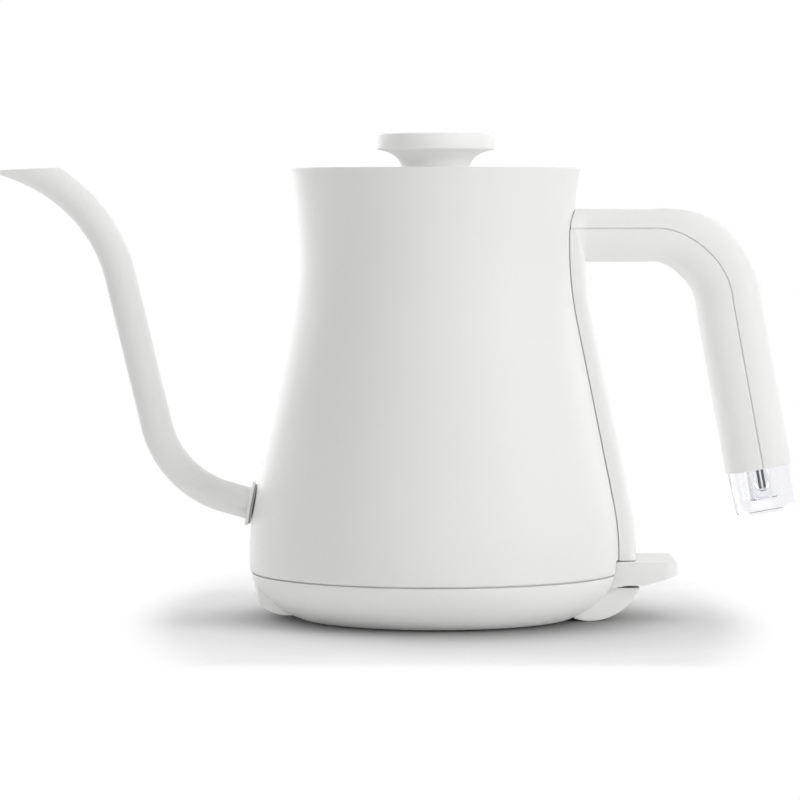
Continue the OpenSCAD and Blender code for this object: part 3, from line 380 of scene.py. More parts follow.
body = {"foldIn": 1.6, "foldEdge": 0.4, "ledgeDepth": 3.5, "ledgeR": 44.6, "ledgeT": 1, "strainerD": 2,
    "strainerGap": 0.7, "strainerReach": 8, "spoutZ": 38.3, "portR": 1.9, "portY": 5, "portZ": 24.5,
    "portReach": 4, "steamPortZ": 127, "slotCorner": 1.2}
ledgeZ = rimZ - body["ledgeDepth"]
spoutZ = body["spoutZ"]

def wallLine(z0, z1, out, n):
    return [(bodyR(z) + out, z) for z in (mix(z0, z1, i / n) for i in range(n + 1))]

def makeBody():
    e, fold = body["foldEdge"], rimR - body["foldIn"]
    skin = revolve("bodySkin", arc((bodyR(seamZ) - seamEdge, seamZ + seamEdge), seamEdge, -90, -10, 5)
        + wallLine(seamZ + seamEdge, rimZ - e, 0, 96)
        + arc((rimR - e, rimZ - e), e, 8, 90, 6) + arc((fold + e, rimZ - e), e, 90, 180, 6)
        + [(fold, ledgeZ), (body["ledgeR"], ledgeZ), (body["ledgeR"], ledgeZ - body["ledgeT"])]
        + wallLine(seamZ, ledgeZ - body["ledgeT"], -sheet, 96)[::-1], bodySteps)
    slot = block("slotCut", (pinX, -slotW, 0), (past, slotW, slotTopZ))
    roundEdges(slot, body["slotCorner"], 5, 60)
    combine(skin, slot)
    # strainer holes behind the spout: one and six round it
    pitch, reach = body["strainerD"] + body["strainerGap"], body["strainerReach"]
    for count, radius in ((1, 0), (6, pitch)):
        hole = copiesRound(rod("hole", (0, 0, -reach), (0, 0, reach), body["strainerD"] / 2, 24), count, radius)
        combine(skin, shift(hole, -bodyR(spoutZ), spoutZ, 90))
    # ports into the back strip: two for the lamp's wires and one for steam
    reach = body["portReach"]
    for way, z in ((-1, body["portZ"]), (1, body["portZ"]), (1, body["steamPortZ"])):
        y = way * body["portY"]
        combine(skin, rod("port", (bodyR(z) - reach, y, z), (bodyR(z) + reach, y, z), body["portR"], 32))
    return skin

# the paint ends under the lid's ledge: further in the vessel is bare steel
def lineInside(piece, material):
    piece.data.materials.append(material)
    for face in piece.data.polygons:
        x, y, z = face.center / mm
        if z < ledgeZ - body["ledgeT"] / 2 and math.hypot(x, y) < bodyR(z) - sheet / 2:
            face.material_index = 1

bodySkin = makeBody()
place(bodySkin, powderCoat, "body_shell")
lineInside(bodySkin, brushedSteel)
print("body ready")

cover = {"wall": 2, "baseZ": 0.4, "flatR": 46.5, "recessR": 16, "recessDepth": 7, "recessEdge": 0.5,
    "seamGap": 0.5, "shoulderIn": 0.6, "shoulderZ": 10.2, "bowlLow": 6.2, "bowlUp": 3.9, "collarH": 5,
    "collarPlay": 0.4, "collarT": 1.8, "toeHalfWidth": 14, "toeIn": 1.4, "toeZ": 1.9, "toeTopZ": 14,
    "toeEdge": 0.7, "heelHalfWidth": 15.9, "heelR": 18, "heelX": 51.8, "heelZ": 18.1, "heelEdge": 0.8,
    "heelTopZ": 11.3, "pocketZ": 9.6, "earIn": 6.4, "earR": 4, "earFootZ": 2, "pinPlay": 0.02, "boreR": 3,
    "boreL": 4, "footR": 5, "footH": 1.4, "footDish": 0.12, "footEdge": 0.35, "footPlay": 0.05,
    "footCircleR": 36, "screwCircleR": 28, "bossZ": 6}
coverR, coverTopZ = bodyR(seamZ) - seamEdge, seamZ - cover["seamGap"]
baseZ, flatR, wall = cover["baseZ"], cover["flatR"], cover["wall"]
heelW, heelTopZ = cover["heelHalfWidth"], cover["heelTopZ"]
bowl = curveThrough([(coverR, coverTopZ), (coverR - cover["shoulderIn"], cover["shoulderZ"]),
    (coverR - cover["bowlLow"], baseZ + cover["bowlUp"]), (flatR, baseZ)], 48)

# a rod across the kettle, on the line of the lever's pin
def onPin(name, y0, y1, radius, around=48):
    return rod(name, (pinX, y0, pinZ), (pinX, y1, pinZ), radius, around)

# a wheel across the kettle, which gives the heel its round back
def drum(name, radius, halfWidth, edge):
    piece = revolve(name, [(0, -halfWidth)] + arc((radius - edge, edge - halfWidth), edge, -90, 0, 6)
        + arc((radius - edge, halfWidth - edge), edge, 0, 90, 6) + [(0, halfWidth)], 200)
    return shift(piece, cover["heelX"], cover["heelZ"], -90, "X")

def makeCoverSkin():
    collarOut = bodyR(seamZ) - sheet - cover["collarPlay"]
    collarIn, collarTop = collarOut - cover["collarT"], seamZ + cover["collarH"]
    recessR, hub = cover["recessR"], cover["recessR"] + wall
    inside = curveThrough([(collarIn, coverTopZ),
        (collarIn - cover["shoulderIn"], cover["shoulderZ"] + wall / 2),
        (coverR - cover["bowlLow"] - wall, baseZ + cover["bowlUp"] + wall / 2), (flatR, baseZ + wall)], 30)
    return revolve("coverSkin",
        [(recessR + cover["recessEdge"], 0), (hub - 0.3, 0), (hub, 0.1), (hub + 1, baseZ)] + bowl[::-1]
        + [(collarOut, coverTopZ), (collarOut, collarTop), (collarIn, collarTop)] + inside
        + [(hub, baseZ + wall), (hub, cover["recessDepth"]), (recessR, cover["recessDepth"]),
        (recessR, cover["recessEdge"])], bodySteps)

def makeToe():
    tip, low, topZ, w = coverR - cover["toeIn"], cover["toeZ"], cover["toeTopZ"], cover["toeHalfWidth"]
    toe = revolve("toe", [(flatR, topZ), (tip + 0.3, topZ)]
        + curveThrough([(tip + 0.2, 8.5), (tip - 0.3, 4.6), (tip - 3, 2.4), (tip - 9, low)], 20)
        + [(flatR, low)], bodySteps)
    combine(toe, block("toeCut", (-past, -w, 0), (0, w, topZ + 6)), "INTERSECT")
    roundEdges(toe, cover["toeEdge"], 3, 50)
    return toe

def makeHeel():
    heel = drum("heel", cover["heelR"], heelW, cover["heelEdge"])
    combine(heel, block("heelCut", (flatR, -60, -5), (past, 60, heelTopZ)), "INTERSECT")
    return heel

# the bowl filled out round the lever's slot, so that the slot is cut from solid walls
def makeHeelBlock():
    w = slotW + wall
    heelBlock = revolve("heelBlock", [(0, baseZ)] + bowl[::-1] + [(0, coverTopZ)], bodySteps)
    combine(heelBlock, block("blockCut", (pinX - wall, -w, -1), (past, w, above)), "INTERSECT")
    return heelBlock

def makeCover():
    r = cover["earR"]
    skin = join([makeCoverSkin(), makeToe(), makeHeelBlock(), makeHeel()])
    combine(skin, drum("hollow", cover["heelR"] - wall, heelW - wall, cover["heelEdge"]))
    combine(skin, block("slot", (pinX, -slotW, heelTopZ), (past, slotW, above)))
    for side in (-1, 1):
        y0, y1 = sorted((side * heelW, side * slotW))
        combine(skin, block("pocket", (pinX, y0, cover["pocketZ"]), (past, y1, above)))
        y0, y1 = sorted((side * cover["earIn"], side * (cover["earIn"] + wall)))
        ear = onPin("ear", y0, y1, r)
        combine(ear, block("earFoot", (pinX - r, y0, cover["earFootZ"]), (pinX + r, y1, pinZ)), "UNION")
        combine(skin, ear, "UNION")
    combine(skin, onPin("pinBore", -20, 20, lever["pinR"] + cover["pinPlay"]))
    # counterbores for the three screws and shallow seats for the four feet
    bore = rod("bore", (0, 0, -1), (0, 0, cover["boreL"]), cover["boreR"], 40)
    combine(skin, copiesRound(bore, 3, cover["screwCircleR"], 90))
    seat = rod("seat", (0, 0, -1), (0, 0, cover["footH"]), cover["footR"] + cover["footPlay"], 64)
    combine(skin, copiesRound(seat, 4, cover["footCircleR"], 45))
    return skin

place(makeCover(), sparkErodedAbs, "base_cover")

# a soft foot, slightly dished so that it stands on its rim
def makeFoot():
    r, h, e, up = cover["footR"], cover["footH"], cover["footEdge"], cover["footDish"]
    return revolve("footPads", [(0, up), (r - 1.6, up), (r - 1.3, 0)] + arc((r - e, e), e, -90, 0, 5)
        + [(r, h), (0, h)], 48)

feet = copiesRound(makeFoot(), 4, cover["footCircleR"], 45, greySilicone)
place(feet, greySilicone, "foot_pads")

# a pan head with a cross recess below, and the shank above it. The cross is in shares of the head.
screw = {"headR": 2.6, "headH": 1.6, "shankR": 1.3, "shankL": 9, "sunk": 3.6,
    "crossReach": 0.55, "crossHalf": 0.14, "crossDepth": 0.55}

def makeScrew(name, headR, headH, shankR, shankL):
    piece = revolve(name, [(0, 0)] + curveThrough([(headR * 0.3, 0), (headR * 0.85, 0), (headR, headH * 0.3),
        (headR, headH)], 8) + [(shankR, headH), (shankR, headH + shankL - shankR / 2),
        (shankR / 2, headH + shankL), (0, headH + shankL)], 40)
    reach, half = headR * screw["crossReach"], headR * screw["crossHalf"]
    for x, y in ((reach, half), (half, reach)):
        combine(piece, block("cross", (-x, -y, -1), (x, y, headH * screw["crossDepth"])))
    return piece

baseScrew = makeScrew("baseScrews", screw["headR"], screw["headH"], screw["shankR"], screw["shankL"])
shift(baseScrew, z=cover["bossZ"] - screw["sunk"])
baseScrews = copiesRound(baseScrew, 3, cover["screwCircleR"], 90, zincPlate)
place(baseScrews, zincPlate, "base_screws")

# the kettle's half of the plug: two ring slots and a centre hole, with brass rings in them
plug = {"z": 7.3, "slotDepth": 5.5, "slots": ((3.4, 5.6), (8.2, 10.4)), "slotEdge": 0.3, "holeR": 1.7,
    "holeEdge": 0.4, "contactT": 0.6, "contactIn": 1, "neckR": 15.7, "neckEdge": 0.5, "bodyR": 20,
    "bodyZ": 11.3, "earR": 3.5, "earT": 4}

def makePlug():
    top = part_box("control_housing")[1][2] / mm
    low, deep = plug["z"], plug["z"] + plug["slotDepth"]
    r, e = plug["holeR"], plug["holeEdge"]
    line = [(0, deep), (r, deep), (r, low + e), (r + e, low)]
    e = plug["slotEdge"]
    for inner, outer in plug["slots"]:
        line += [(inner - e, low), (inner, low + e), (inner, deep)]
        line += [(outer, deep), (outer, low + e), (outer + e, low)]
    r, e = plug["neckR"], plug["neckEdge"]
    line += [(r - e, low), (r, low + e), (r, plug["bodyZ"]), (plug["bodyR"], plug["bodyZ"]),
        (plug["bodyR"], top), (0, top)]
    piece = revolve("plugHousing", line, 144)
    ear = rod("ear", (0, 0, top - plug["earT"]), (0, 0, top), plug["earR"])
    combine(piece, copiesRound(ear, 3, plug["bodyR"], 30), "UNION")
    return piece

def makeContacts():
    t, low, high = plug["contactT"], plug["z"] + plug["contactIn"], plug["z"] + plug["slotDepth"]
    bend = low + 0.2  # each ring's lower edge is rolled over from here
    return join([revolve("contactRings", [(outer, high), (outer - t, high), (outer - t, bend)]
        + arc((outer - t / 2, bend), t / 2, 180, 360, 6) + [(outer, bend)], 96)
        for outer in [plug["holeR"]] + [s[1] for s in plug["slots"]]])

place(makePlug(), blackPolyamide, "control_housing")
place(makeContacts(), contactBrass, "coupler_contacts")
print("base ready")

def makeLever():
    topZ, w = lever["topZ"], lever["halfWidth"]
    tipX, e, under = lever["tipX"], lever["tipEdge"], lever["topZ"] - lever["tipT"]
    heelTip = cover["heelX"] + math.sqrt(cover["heelR"] ** 2 - (cover["heelZ"] - heelTopZ) ** 2)
    swing = math.hypot(heelTip - pinX, heelTopZ - pinZ) + lever["swingPlay"]
    side = [(lever["cheekX"], topZ)] + arc((tipX - e, topZ - e), e, 90, 0, 6)
    side += arc((tipX - e, under + e), e, 0, -75, 5) + [(pinX + swing + lever["skirtOut"], lever["skirtZ"]),
        (heelTip - lever["skirtIn"], lever["skirtZ"]), (lever["cheekX"], lever["cheekZ"])]
    piece = loft("switchLever", [[(x, y, z) for x, z in side] for y in (-w, w)])
    # room for the ears between its cheeks, and for the heel that it turns over
    inner, plateX = heelW + lever["cheekPlay"], pinX + cover["earR"] + lever["earPlay"]
    combine(piece, block("between", (0, -inner, 0), (plateX, inner, above)))
    sweepCut = onPin("sweepCut", -inner, inner, swing, 160)
    combine(sweepCut, block("keep", (plateX - 1, -inner - 1, -10), (past, inner + 1, under)), "INTERSECT")
    combine(piece, sweepCut)
    r = lever["cornerR"]
    for way in (-1, 1):
        y0, y1 = sorted((way * (w - r), way * (w + r)))
        corner = block("corner", (tipX - r, y0, 0), (tipX + r, y1, above))
        y = way * (w - r)
        combine(corner, rod("round", (tipX - r, y, -1), (tipX - r, y, above + 1), r, 96))
        combine(piece, corner)
    roundEdges(piece, lever["rounding"], 3, 40)
    y0, y1 = lever["hubY"]
    combine(piece, onPin("hub", y0, y1, lever["hubR"]), "UNION")
    combine(piece, block("arm", (pinX, y0, pinZ - 1), (plateX + 1, y1, under + 2)), "UNION")
    combine(piece, onPin("bore", -20, 20, lever["pinR"] + lever["pinPlay"]))
    return piece

place(makeLever(), sparkErodedAbs, "switch_lever", "lever")
pinEnd = cover["earIn"] + wall + lever["pinOut"]
pin = onPin("leverPin", -pinEnd, pinEnd, lever["pinR"], 40)
roundEdges(pin, lever["pinEdge"], 2, 60)
place(pin, zincPlate, "lever_pin")

# a torsion spring round the pin, one leg on the floor of the base and one under the lever
spring = {"coilR": 2.3, "turns": 3, "steps": 32, "wireR": 0.3, "y": 3.7, "span": 2.0, "legIn": 6, "legOut": 5}
helix, last = [], spring["steps"] * spring["turns"]
for i in range(last + 1):
    x, z = turnBy(-90 + 360 * i / spring["steps"])
    helix.append((pinX + spring["coilR"] * x, spring["y"] + spring["span"] * i / last,
        pinZ + spring["coilR"] * z))
legZ = pinZ - spring["coilR"]
helix = [(pinX - spring["legIn"], helix[0][1], legZ)] + helix \
    + [(pinX + spring["legOut"], helix[-1][1], legZ)]
place(sweep("leverSpring", helix, spring["wireR"], 10, zincPlate), zincPlate, "lever_spring")
print("lever ready")

# unit vectors in the spout's plane: along a slope that climbs towards the mouth, and square to it
def ahead(a):
    x, y = turnBy(a)
    return Vector((-x, y))

def leftOf(a):
    x, y = turnBy(a)
    return Vector((y, x))

# the spout is a tube along a path: a straight root, three bends and a straight beak.
# bends: (radius, slope it starts at, slope it ends at, steps). A negative radius bends upward.
spout = {"d": 10.6, "wall": 0.8, "offSkin": 0.6, "rootL": 9.3, "riserL": 51.9, "beakL": 4.3, "mouthZ": 151.6,
    "mouthTilt": 2.6, "lip": 0.22, "bends": ((-33.5, 15.8, 76.5, 44), (51, 76.5, 45.6, 30),
    (58, 45.6, 19.8, 26)), "boreOver": 2, "collarR": 7.5, "collarT": 1.2, "collarLift": 0.15,
    "collarEdge": 0.4, "footEdge": 0.3, "boreEdge": 0.2, "play": 0.05, "sealT": 0.6, "sealLift": 0.1,
    "sealIn": 0.9, "sealEdge": 0.2}

def spoutPath():
    bends = spout["bends"]
    at = Vector((-bodyR(spoutZ) - spout["offSkin"], spoutZ))
    path = [at.copy()]
    at += spout["rootL"] * ahead(bends[0][1])
    for index, (radius, a0, a1, steps) in enumerate(bends):
        centre = at - radius * leftOf(a0)
        path += [centre + radius * leftOf(mix(a0, a1, i / steps)) for i in range(steps + 1)]
        at = path[-1].copy()
        if index == 0:
            at += spout["riserL"] * ahead(a1)
    mouth = at.copy()
    path.append(at + spout["beakL"] * ahead(bends[-1][2]))
    return path, mouth

def makeSpout():
    path, mouth = spoutPath()
    bends, over, r = spout["bends"], spout["boreOver"], spout["d"] / 2
    longer = [path[0] - over * ahead(bends[0][1])] + path[1:-1] + [path[-1] + over * ahead(bends[-1][2])]
    tube = sweep("spout", [(p.x, 0, p.y) for p in path], r, 80)
    combine(tube, sweep("bore", [(p.x, 0, p.y) for p in longer], r - spout["wall"], 80))
    cut = block("mouthCut", (-45, -15, 0), (45, 15, 30))
    combine(tube, shift(cut, mouth.x, spout["mouthZ"], -spout["mouthTilt"]))
    roundEdges(tube, spout["lip"], 3, 50)
    return tube

place(makeSpout(), powderCoat, "spout_tube")

# the collar and its seal stand square to the skin where the spout leaves it
rootLean = math.degrees(math.atan2(bodyR(spoutZ - 1) - bodyR(spoutZ + 1), 2))

def atSpoutRoot(piece):
    return shift(piece, -bodyR(spoutZ), spoutZ, rootLean - 90)

def makeCollar():
    r, low, bore = spout["collarR"], spout["collarLift"] + spout["sealT"], spout["d"] / 2 + spout["play"]
    top, e, foot, edge = low + spout["collarT"], spout["collarEdge"], spout["footEdge"], spout["boreEdge"]
    return atSpoutRoot(revolve("spoutCollar", arc((r - foot, low + foot), foot, -90, 0, 5)
        + arc((r - e, top - e), e, 0, 90, 5) + [(bore + edge, top), (bore, top - edge), (bore, low)], 96))

def makeSeal():
    r, low, e = spout["collarR"] - spout["sealIn"], spout["sealLift"], spout["sealEdge"]
    top, bore = low + spout["sealT"], spout["d"] / 2 + spout["play"]
    return atSpoutRoot(revolve("spoutSeal", arc((r, low + e), e, -90, 0, 4) + arc((r, top - e), e, 0, 90, 4)
        + [(bore, top), (bore, low)], 96))

place(makeCollar(), powderCoat, "spout_collar")
place(makeSeal(), greySilicone, "spout_seal")
print("spout ready")

# the handle: two shells along a bar, a bend and a grip, and a strip down the back of the body
handle = {"topZ": 138.3, "barZ": 120.5, "partZ": 131.8, "barX": 71.7, "bendR": 28, "swell": 1.3, "turn": 79.5,
    "deepenA": 45, "gripW": 11, "gripD": 22.4, "gripEndZ": 50.8, "partOut": 0.7, "partGap": 0.3, "wall": 1.8,
    "power": 2.6, "barW": 11.4, "footW": 13.35, "flareL": 5, "fit": 0.3, "edge": 0.32, "tongueIn": 0.55,
    "tongueGap": 0.03}
strip = {"lowZ": 20.3, "footW": 14.2, "topW": 13, "footD": 4.8, "topD": 3.8, "taperZ": 45, "rootZ": 118,
    "rootH": 15, "wall": 1.4, "channelTopZ": 119.5, "power": 5, "backD": 0.4, "backLip": 0.94}
barZ = handle["barZ"]
midZ, barHalf = (handle["topZ"] + barZ) / 2, (handle["topZ"] - barZ) / 2
bendC = Vector((handle["barX"], midZ - handle["bendR"]))
turnX, turnY = turnBy(handle["turn"])
gripDir, gripOut = Vector((turnX, -turnY)), Vector((turnY, turnX))
gripStart = bendC + handle["bendR"] * gripOut
gripL = (gripStart.y - handle["gripEndZ"]) / turnY
gripEnd = gripStart + gripL * gripDir

# centre, outward normal, half depth, half width and parting offset, at angle a of the bend
def bendStation(a):
    x, y = turnBy(a)
    out, t = Vector((y, x)), ease(a / handle["deepenA"])
    r = handle["bendR"] + handle["swell"] * math.sin(math.pi * a / handle["turn"])
    return (bendC + r * out, out, mix(barHalf, handle["gripD"] / 2, t), mix(handle["barW"], handle["gripW"], t),
        mix(handle["partZ"] - midZ, handle["partOut"], t))

# a point at angle a of a section that is rounder than a box and squarer than an oval
def squircle(a, half, w, power):
    x, y = turnBy(a)
    return (w * math.copysign(abs(x) ** (2 / power), x), half * math.copysign(abs(y) ** (2 / power), y))

def shellSide(half, w, cut, way, steps=64):
    c = math.degrees(math.asin((cut / half) ** (handle["power"] / 2)))
    a0, a1 = (c, 180 - c) if way > 0 else (180 - c, 360 + c)
    return [squircle(mix(a0, a1, i / steps), half, w, handle["power"]) for i in range(steps + 1)]

# one shell's section. The inner shell (way -1) has a tongue that closes the parting line from behind.
def shellRing(half, w, part, way):
    cut = part + way * handle["partGap"] / 2
    outer = shellSide(half, w, cut, way)
    inner = shellSide(half - handle["wall"], w - handle["wall"], cut, way)[::-1]
    if way > 0:
        return outer + inner
    lift = cut + handle["partGap"] - handle["tongueGap"]
    ends = []
    for start, end in ((outer[-1], inner[0]), (outer[0], inner[-1])):
        inset = math.copysign(abs(start[0]) - handle["tongueIn"], start[0])
        ends.append([(inset, cut), (inset, lift), (math.copysign(abs(end[0]), start[0]), lift)])
    return outer + ends[0] + inner + ends[1][::-1]

def makeShell(name, way):
    rings = []
    barL = handle["barX"] - waistR
    # shares of the bar's length, close together where it flares into the body
    for u in [i * 0.025 for i in range(9)] + [0.2 + i * 0.1 for i in range(1, 8)]:
        w = mix(handle["footW"], handle["barW"], ease(u * barL / handle["flareL"]))
        rings.append([(mix(skinX(midZ + p, y, handle["fit"]), handle["barX"], u), y, midZ + p)
            for y, p in shellRing(barHalf, w, handle["partZ"] - midZ, way)])
    steps = [bendStation(handle["turn"] * i / 64) for i in range(65)]
    c, out, half, w, part = steps[-1]
    steps += [(c + gripL * i / 12 * gripDir, out, half, w, part) for i in range(1, 13)]
    for c, out, half, w, part in steps:
        rings.append([(c.x + out.x * p, y, c.y + out.y * p) for y, p in shellRing(half, w, part, way)])
    piece = loft(name, rings, 40)
    roundEdges(piece, handle["edge"], 3, 60, 40)
    return piece

def stripDepth(z):
    up = min(1, max(0, (z - strip["taperZ"]) / (barZ - strip["taperZ"])))
    depth = mix(strip["footD"], strip["topD"], up)
    return depth * math.sqrt(1 - (max(0, z - strip["rootZ"]) / strip["rootH"]) ** 2)

def stripSide(z, inset):
    down = min(1, max(0, (z - strip["lowZ"]) / (barZ - strip["lowZ"])))
    w = mix(strip["footW"], strip["topW"], down) - inset
    foot = skinX(z, w, handle["fit"])
    depth = bodyR(z) + stripDepth(z) - inset - foot
    return [(foot + p, y, z) for y, p in (squircle(180 * i / 72, depth, w, strip["power"]) for i in range(73))]

def stripBack(z):
    lip = strip["backLip"]
    return [(skinX(z, lip * y, strip["backD"]), lip * y, z) for _, y, _ in stripSide(z, 0)]

def makeStrip():
    topZ = handle["partZ"] - handle["partGap"] / 2 - 0.2
    rings = [stripSide(z, 0) + stripSide(z, strip["wall"])[::-1]
        for z in (mix(strip["lowZ"], strip["channelTopZ"], i / 100) for i in range(101))]
    rings += [stripSide(z, 0) + stripBack(z)[::-1]
        for z in (mix(strip["channelTopZ"] + 0.5, topZ, i / 16) for i in range(17))]
    return loft("strip", rings, 40)

handleInner = makeShell("handleInner", -1)
combine(handleInner, makeStrip(), "UNION", 40)
# the strip's channel opens into the bar in two steps: (lower end, upper end, depth), from the bar's underside
duct = {"halfWidth": 7.2, "sunk": 1, "steps": ((-3, 3, 3.4), (2.4, 19.5, 5.4))}
ductX, ductW = bodyR(barZ) - duct["sunk"], duct["halfWidth"]
for low, high, depth in duct["steps"]:
    combine(handleInner, block("duct", (ductX, -ductW, barZ + low),
        (ductX + depth, ductW, barZ + high)), "DIFFERENCE", 40)
place(handleInner, sparkErodedAbs, "handle_inner")
place(makeShell("handleOuter", 1), sparkErodedAbs, "handle_outer")
print("handle ready")

# the lamp in the grip's end: a clear cap over a neon bulb. Its own Z axis points up the grip.
lamp = {"lensL": 14.9, "lensD": 21.2, "endD": 20, "edge": 0.9, "pocketD": 8.5, "pocketL": 10.4,
    "pocketEdge": 0.8, "spigotL": 4, "spigotPlay": 0.1, "bulbR": 3.2, "bulbOut": 8, "bulbIn": 2.5,
    "bulbFootT": 2, "glass": 0.4, "rodR": 0.42, "rodL": 6.1, "rodUp": 1.7, "rodEdge": 0.12, "leadX": 0.72,
    "leadR": 0.25, "leadL": 18.1, "leadHoleR": 0.4, "holderL": 6, "holderGap": 0.2, "holderEdge": 0.3,
    "seatDepth": 2.4, "seatPlay": 0.05}
lensW = handle["gripW"] * lamp["lensD"] / handle["gripD"]

def atGripEnd(piece):
    return shift(piece, gripEnd.x, gripEnd.y, handle["turn"] - 90)

def ovalRing(half, w, z):
    return [(p, y, z) for y, p in (squircle(360 * i / 144, half, w, handle["power"]) for i in range(144))]

def makeLens():
    e, end, low = lamp["edge"], lamp["endD"] / 2, -lamp["lensL"]
    endW = lensW * lamp["endD"] / lamp["lensD"]
    rings = [ovalRing(end - e + e * x, endW - e + e * x, low + e - e * y)
        for x, y in (turnBy(90 - 90 * i / 8) for i in range(9))]
    piece = loft("lens", rings + [ovalRing(lamp["lensD"] / 2, lensW, 0)])
    inset = handle["wall"] + lamp["spigotPlay"]
    spigot = loft("spigot", [ovalRing(handle["gripD"] / 2 - inset, handle["gripW"] - inset, z)
        for z in (-0.5, lamp["spigotL"])])
    combine(piece, spigot, "UNION")
    r, e, deep = lamp["pocketD"] / 2, lamp["pocketEdge"], -lamp["pocketL"]
    pocket = revolve("pocket", [(0, deep)] + arc((r - e, deep + e), e, -90, 0, 6) + [(r, 12), (0, 12)], 96)
    combine(piece, pocket)
    return piece

def makeBulb():
    r, low, top = lamp["bulbR"], lamp["bulbR"] - lamp["bulbOut"], lamp["spigotL"] + lamp["bulbIn"]
    inner, foot = r - lamp["glass"], top - lamp["bulbFootT"]
    return revolve("neonBulb", arc((0, low), r, -90, 0, 14) + [(r, top - 0.5), (r - 0.5, top), (0, top),
        (0, foot), (inner - 0.8, foot), (inner, foot - 0.8)] + arc((0, low), inner, 0, -90, 14), 64)

def makeElectrode(x):
    low = lamp["rodUp"] - lamp["bulbOut"]
    piece = rod("neonElectrodes", (x, 0, low), (x, 0, low + lamp["rodL"]), lamp["rodR"], 24)
    roundEdges(piece, lamp["rodEdge"], 2, 60)
    combine(piece, rod("lead", (x, 0, low + 6), (x, 0, low + lamp["leadL"]), lamp["leadR"], 16), "UNION")
    return piece

def makeHolder():
    inset, low = handle["wall"] + handle["fit"], lamp["spigotL"] + lamp["holderGap"]
    piece = loft("lampHolder", [ovalRing(handle["gripD"] / 2 - inset, handle["gripW"] - inset, z)
        for z in (low, low + lamp["holderL"])])
    roundEdges(piece, lamp["holderEdge"], 2, 60)
    seatR = lamp["bulbR"] + lamp["seatPlay"]
    combine(piece, rod("seat", (0, 0, low - 1), (0, 0, low + lamp["seatDepth"]), seatR, 64))
    for x in (-lamp["leadX"], lamp["leadX"]):
        combine(piece, rod("leadHole", (x, 0, low), (x, 0, 14), lamp["leadHoleR"], 20))
    return piece

place(atGripEnd(makeLens()), clearAcrylic, "lamp_lens")
place(atGripEnd(makeBulb()), bulbGlass, "neon_bulb")
electrodes = join([makeElectrode(x) for x in (-lamp["leadX"], lamp["leadX"])])
place(atGripEnd(electrodes), nickelRod, "neon_electrodes")
place(atGripEnd(makeHolder()), sparkErodedAbs, "lamp_holder")
print("lamp ready")

lid = {"r": 46.4, "sunk": 0.6, "capT": 1.2, "edge": 0.6, "skirtT": 1.2, "skirtGap": 0.1, "skirtEdge": 0.2,
    "linerR": 43.6, "linerH": 13, "cornerR": 1.2, "flangeIn": 1.3, "sheet": 0.6, "vents": 8, "ventR": 2,
    "ventCircle": 0.8, "knobR": 20.2, "knobH": 11.6, "knobT": 5.4, "neckR": 11.4, "knobEdge": 0.7,
    "flareH": 3.1, "flareIn": 5.6, "screwR": 2, "screwPlay": 0.2, "screwIn": 6.5, "headR": 4, "headH": 2,
    "boreTop": 7, "borePlay": 0.05, "sealLift": 0.3, "sealR": 0.3, "sealGap": 0.1, "sealIn": 0.4}
lidTopZ = rimZ - lid["sunk"]
capUnder, sealZ = lidTopZ - lid["capT"], ledgeZ + lid["sealLift"]
flangeZ = sealZ + 2 * lid["sealR"]

def makeLidCap():
    r, e, hole, edge = lid["r"], lid["edge"], lid["screwR"] + lid["screwPlay"], lid["skirtEdge"]
    low, inner = flangeZ + lid["skirtGap"], r - lid["skirtT"]
    return revolve("lidCap", [(hole, capUnder), (hole, lidTopZ)] + arc((r - e, lidTopZ - e), e, 90, 0, 7)
        + [(r, low + edge), (r - edge, low), (inner, low), (inner, capUnder)], lidSteps)

def makeKnob():
    top, e, r = rimZ + lid["knobH"], lid["knobEdge"], lid["knobR"]
    discZ, foot = top - lid["knobT"], lidTopZ + 0.02
    piece = revolve("lidKnob", [(0, foot)] + curveThrough([(lid["neckR"], foot),
        (lid["neckR"], discZ - lid["flareH"]), (r - lid["flareIn"], discZ - e), (r - e, discZ)], 28)
        + arc((r - e, discZ + e), e, -70, 0, 6) + arc((r - e, top - e), e, 0, 90, 7) + [(0, top)], lidSteps)
    combine(piece, rod("bore", (0, 0, lidTopZ - 2), (0, 0, lidTopZ + lid["boreTop"]),
        lid["screwR"] + lid["borePlay"]))
    return piece

def makeLiner():
    r, s, corner, low = lid["linerR"], lid["sheet"], lid["cornerR"], flangeZ + lid["sheet"] - lid["linerH"]
    flange = lid["r"] - lid["flangeIn"]
    piece = revolve("lidLiner", [(0, low)] + arc((r - corner, low + corner), corner, -90, 0, 7)
        + [(r, flangeZ), (flange, flangeZ), (flange, flangeZ + s), (r - s, flangeZ + s)]
        + arc((r - corner, low + corner), corner - s, 0, -90, 5) + [(0, low + s)], lidSteps)
    vent = rod("vent", (0, 0, low - 1), (0, 0, low + 2), lid["ventR"], 36)
    combine(piece, copiesRound(vent, lid["vents"], r * lid["ventCircle"]))
    return piece

def makeLidSeal():
    r, inner, outer = lid["sealR"], lid["linerR"] + lid["sealGap"], lid["r"] - lid["sealIn"]
    return revolve("lidSeal", arc((inner + r, sealZ + r), r, 90, 270, 6)
        + arc((outer - r, sealZ + r), r, -90, 90, 6), lidSteps)

place(makeLidCap(), powderCoat, "lid_cap", "lid")
place(makeKnob(), polishedAbs, "lid_knob", "lid")
place(makeLiner(), brushedSteel, "lid_liner", "lid")
place(makeLidSeal(), greySilicone, "lid_seal", "lid")
lidScrew = makeScrew("lidScrew", lid["headR"], lid["headH"], lid["screwR"], lid["capT"] + lid["screwIn"])
shift(lidScrew, z=capUnder - lid["headH"])
place(lidScrew, zincPlate, "lid_screw", "lid")

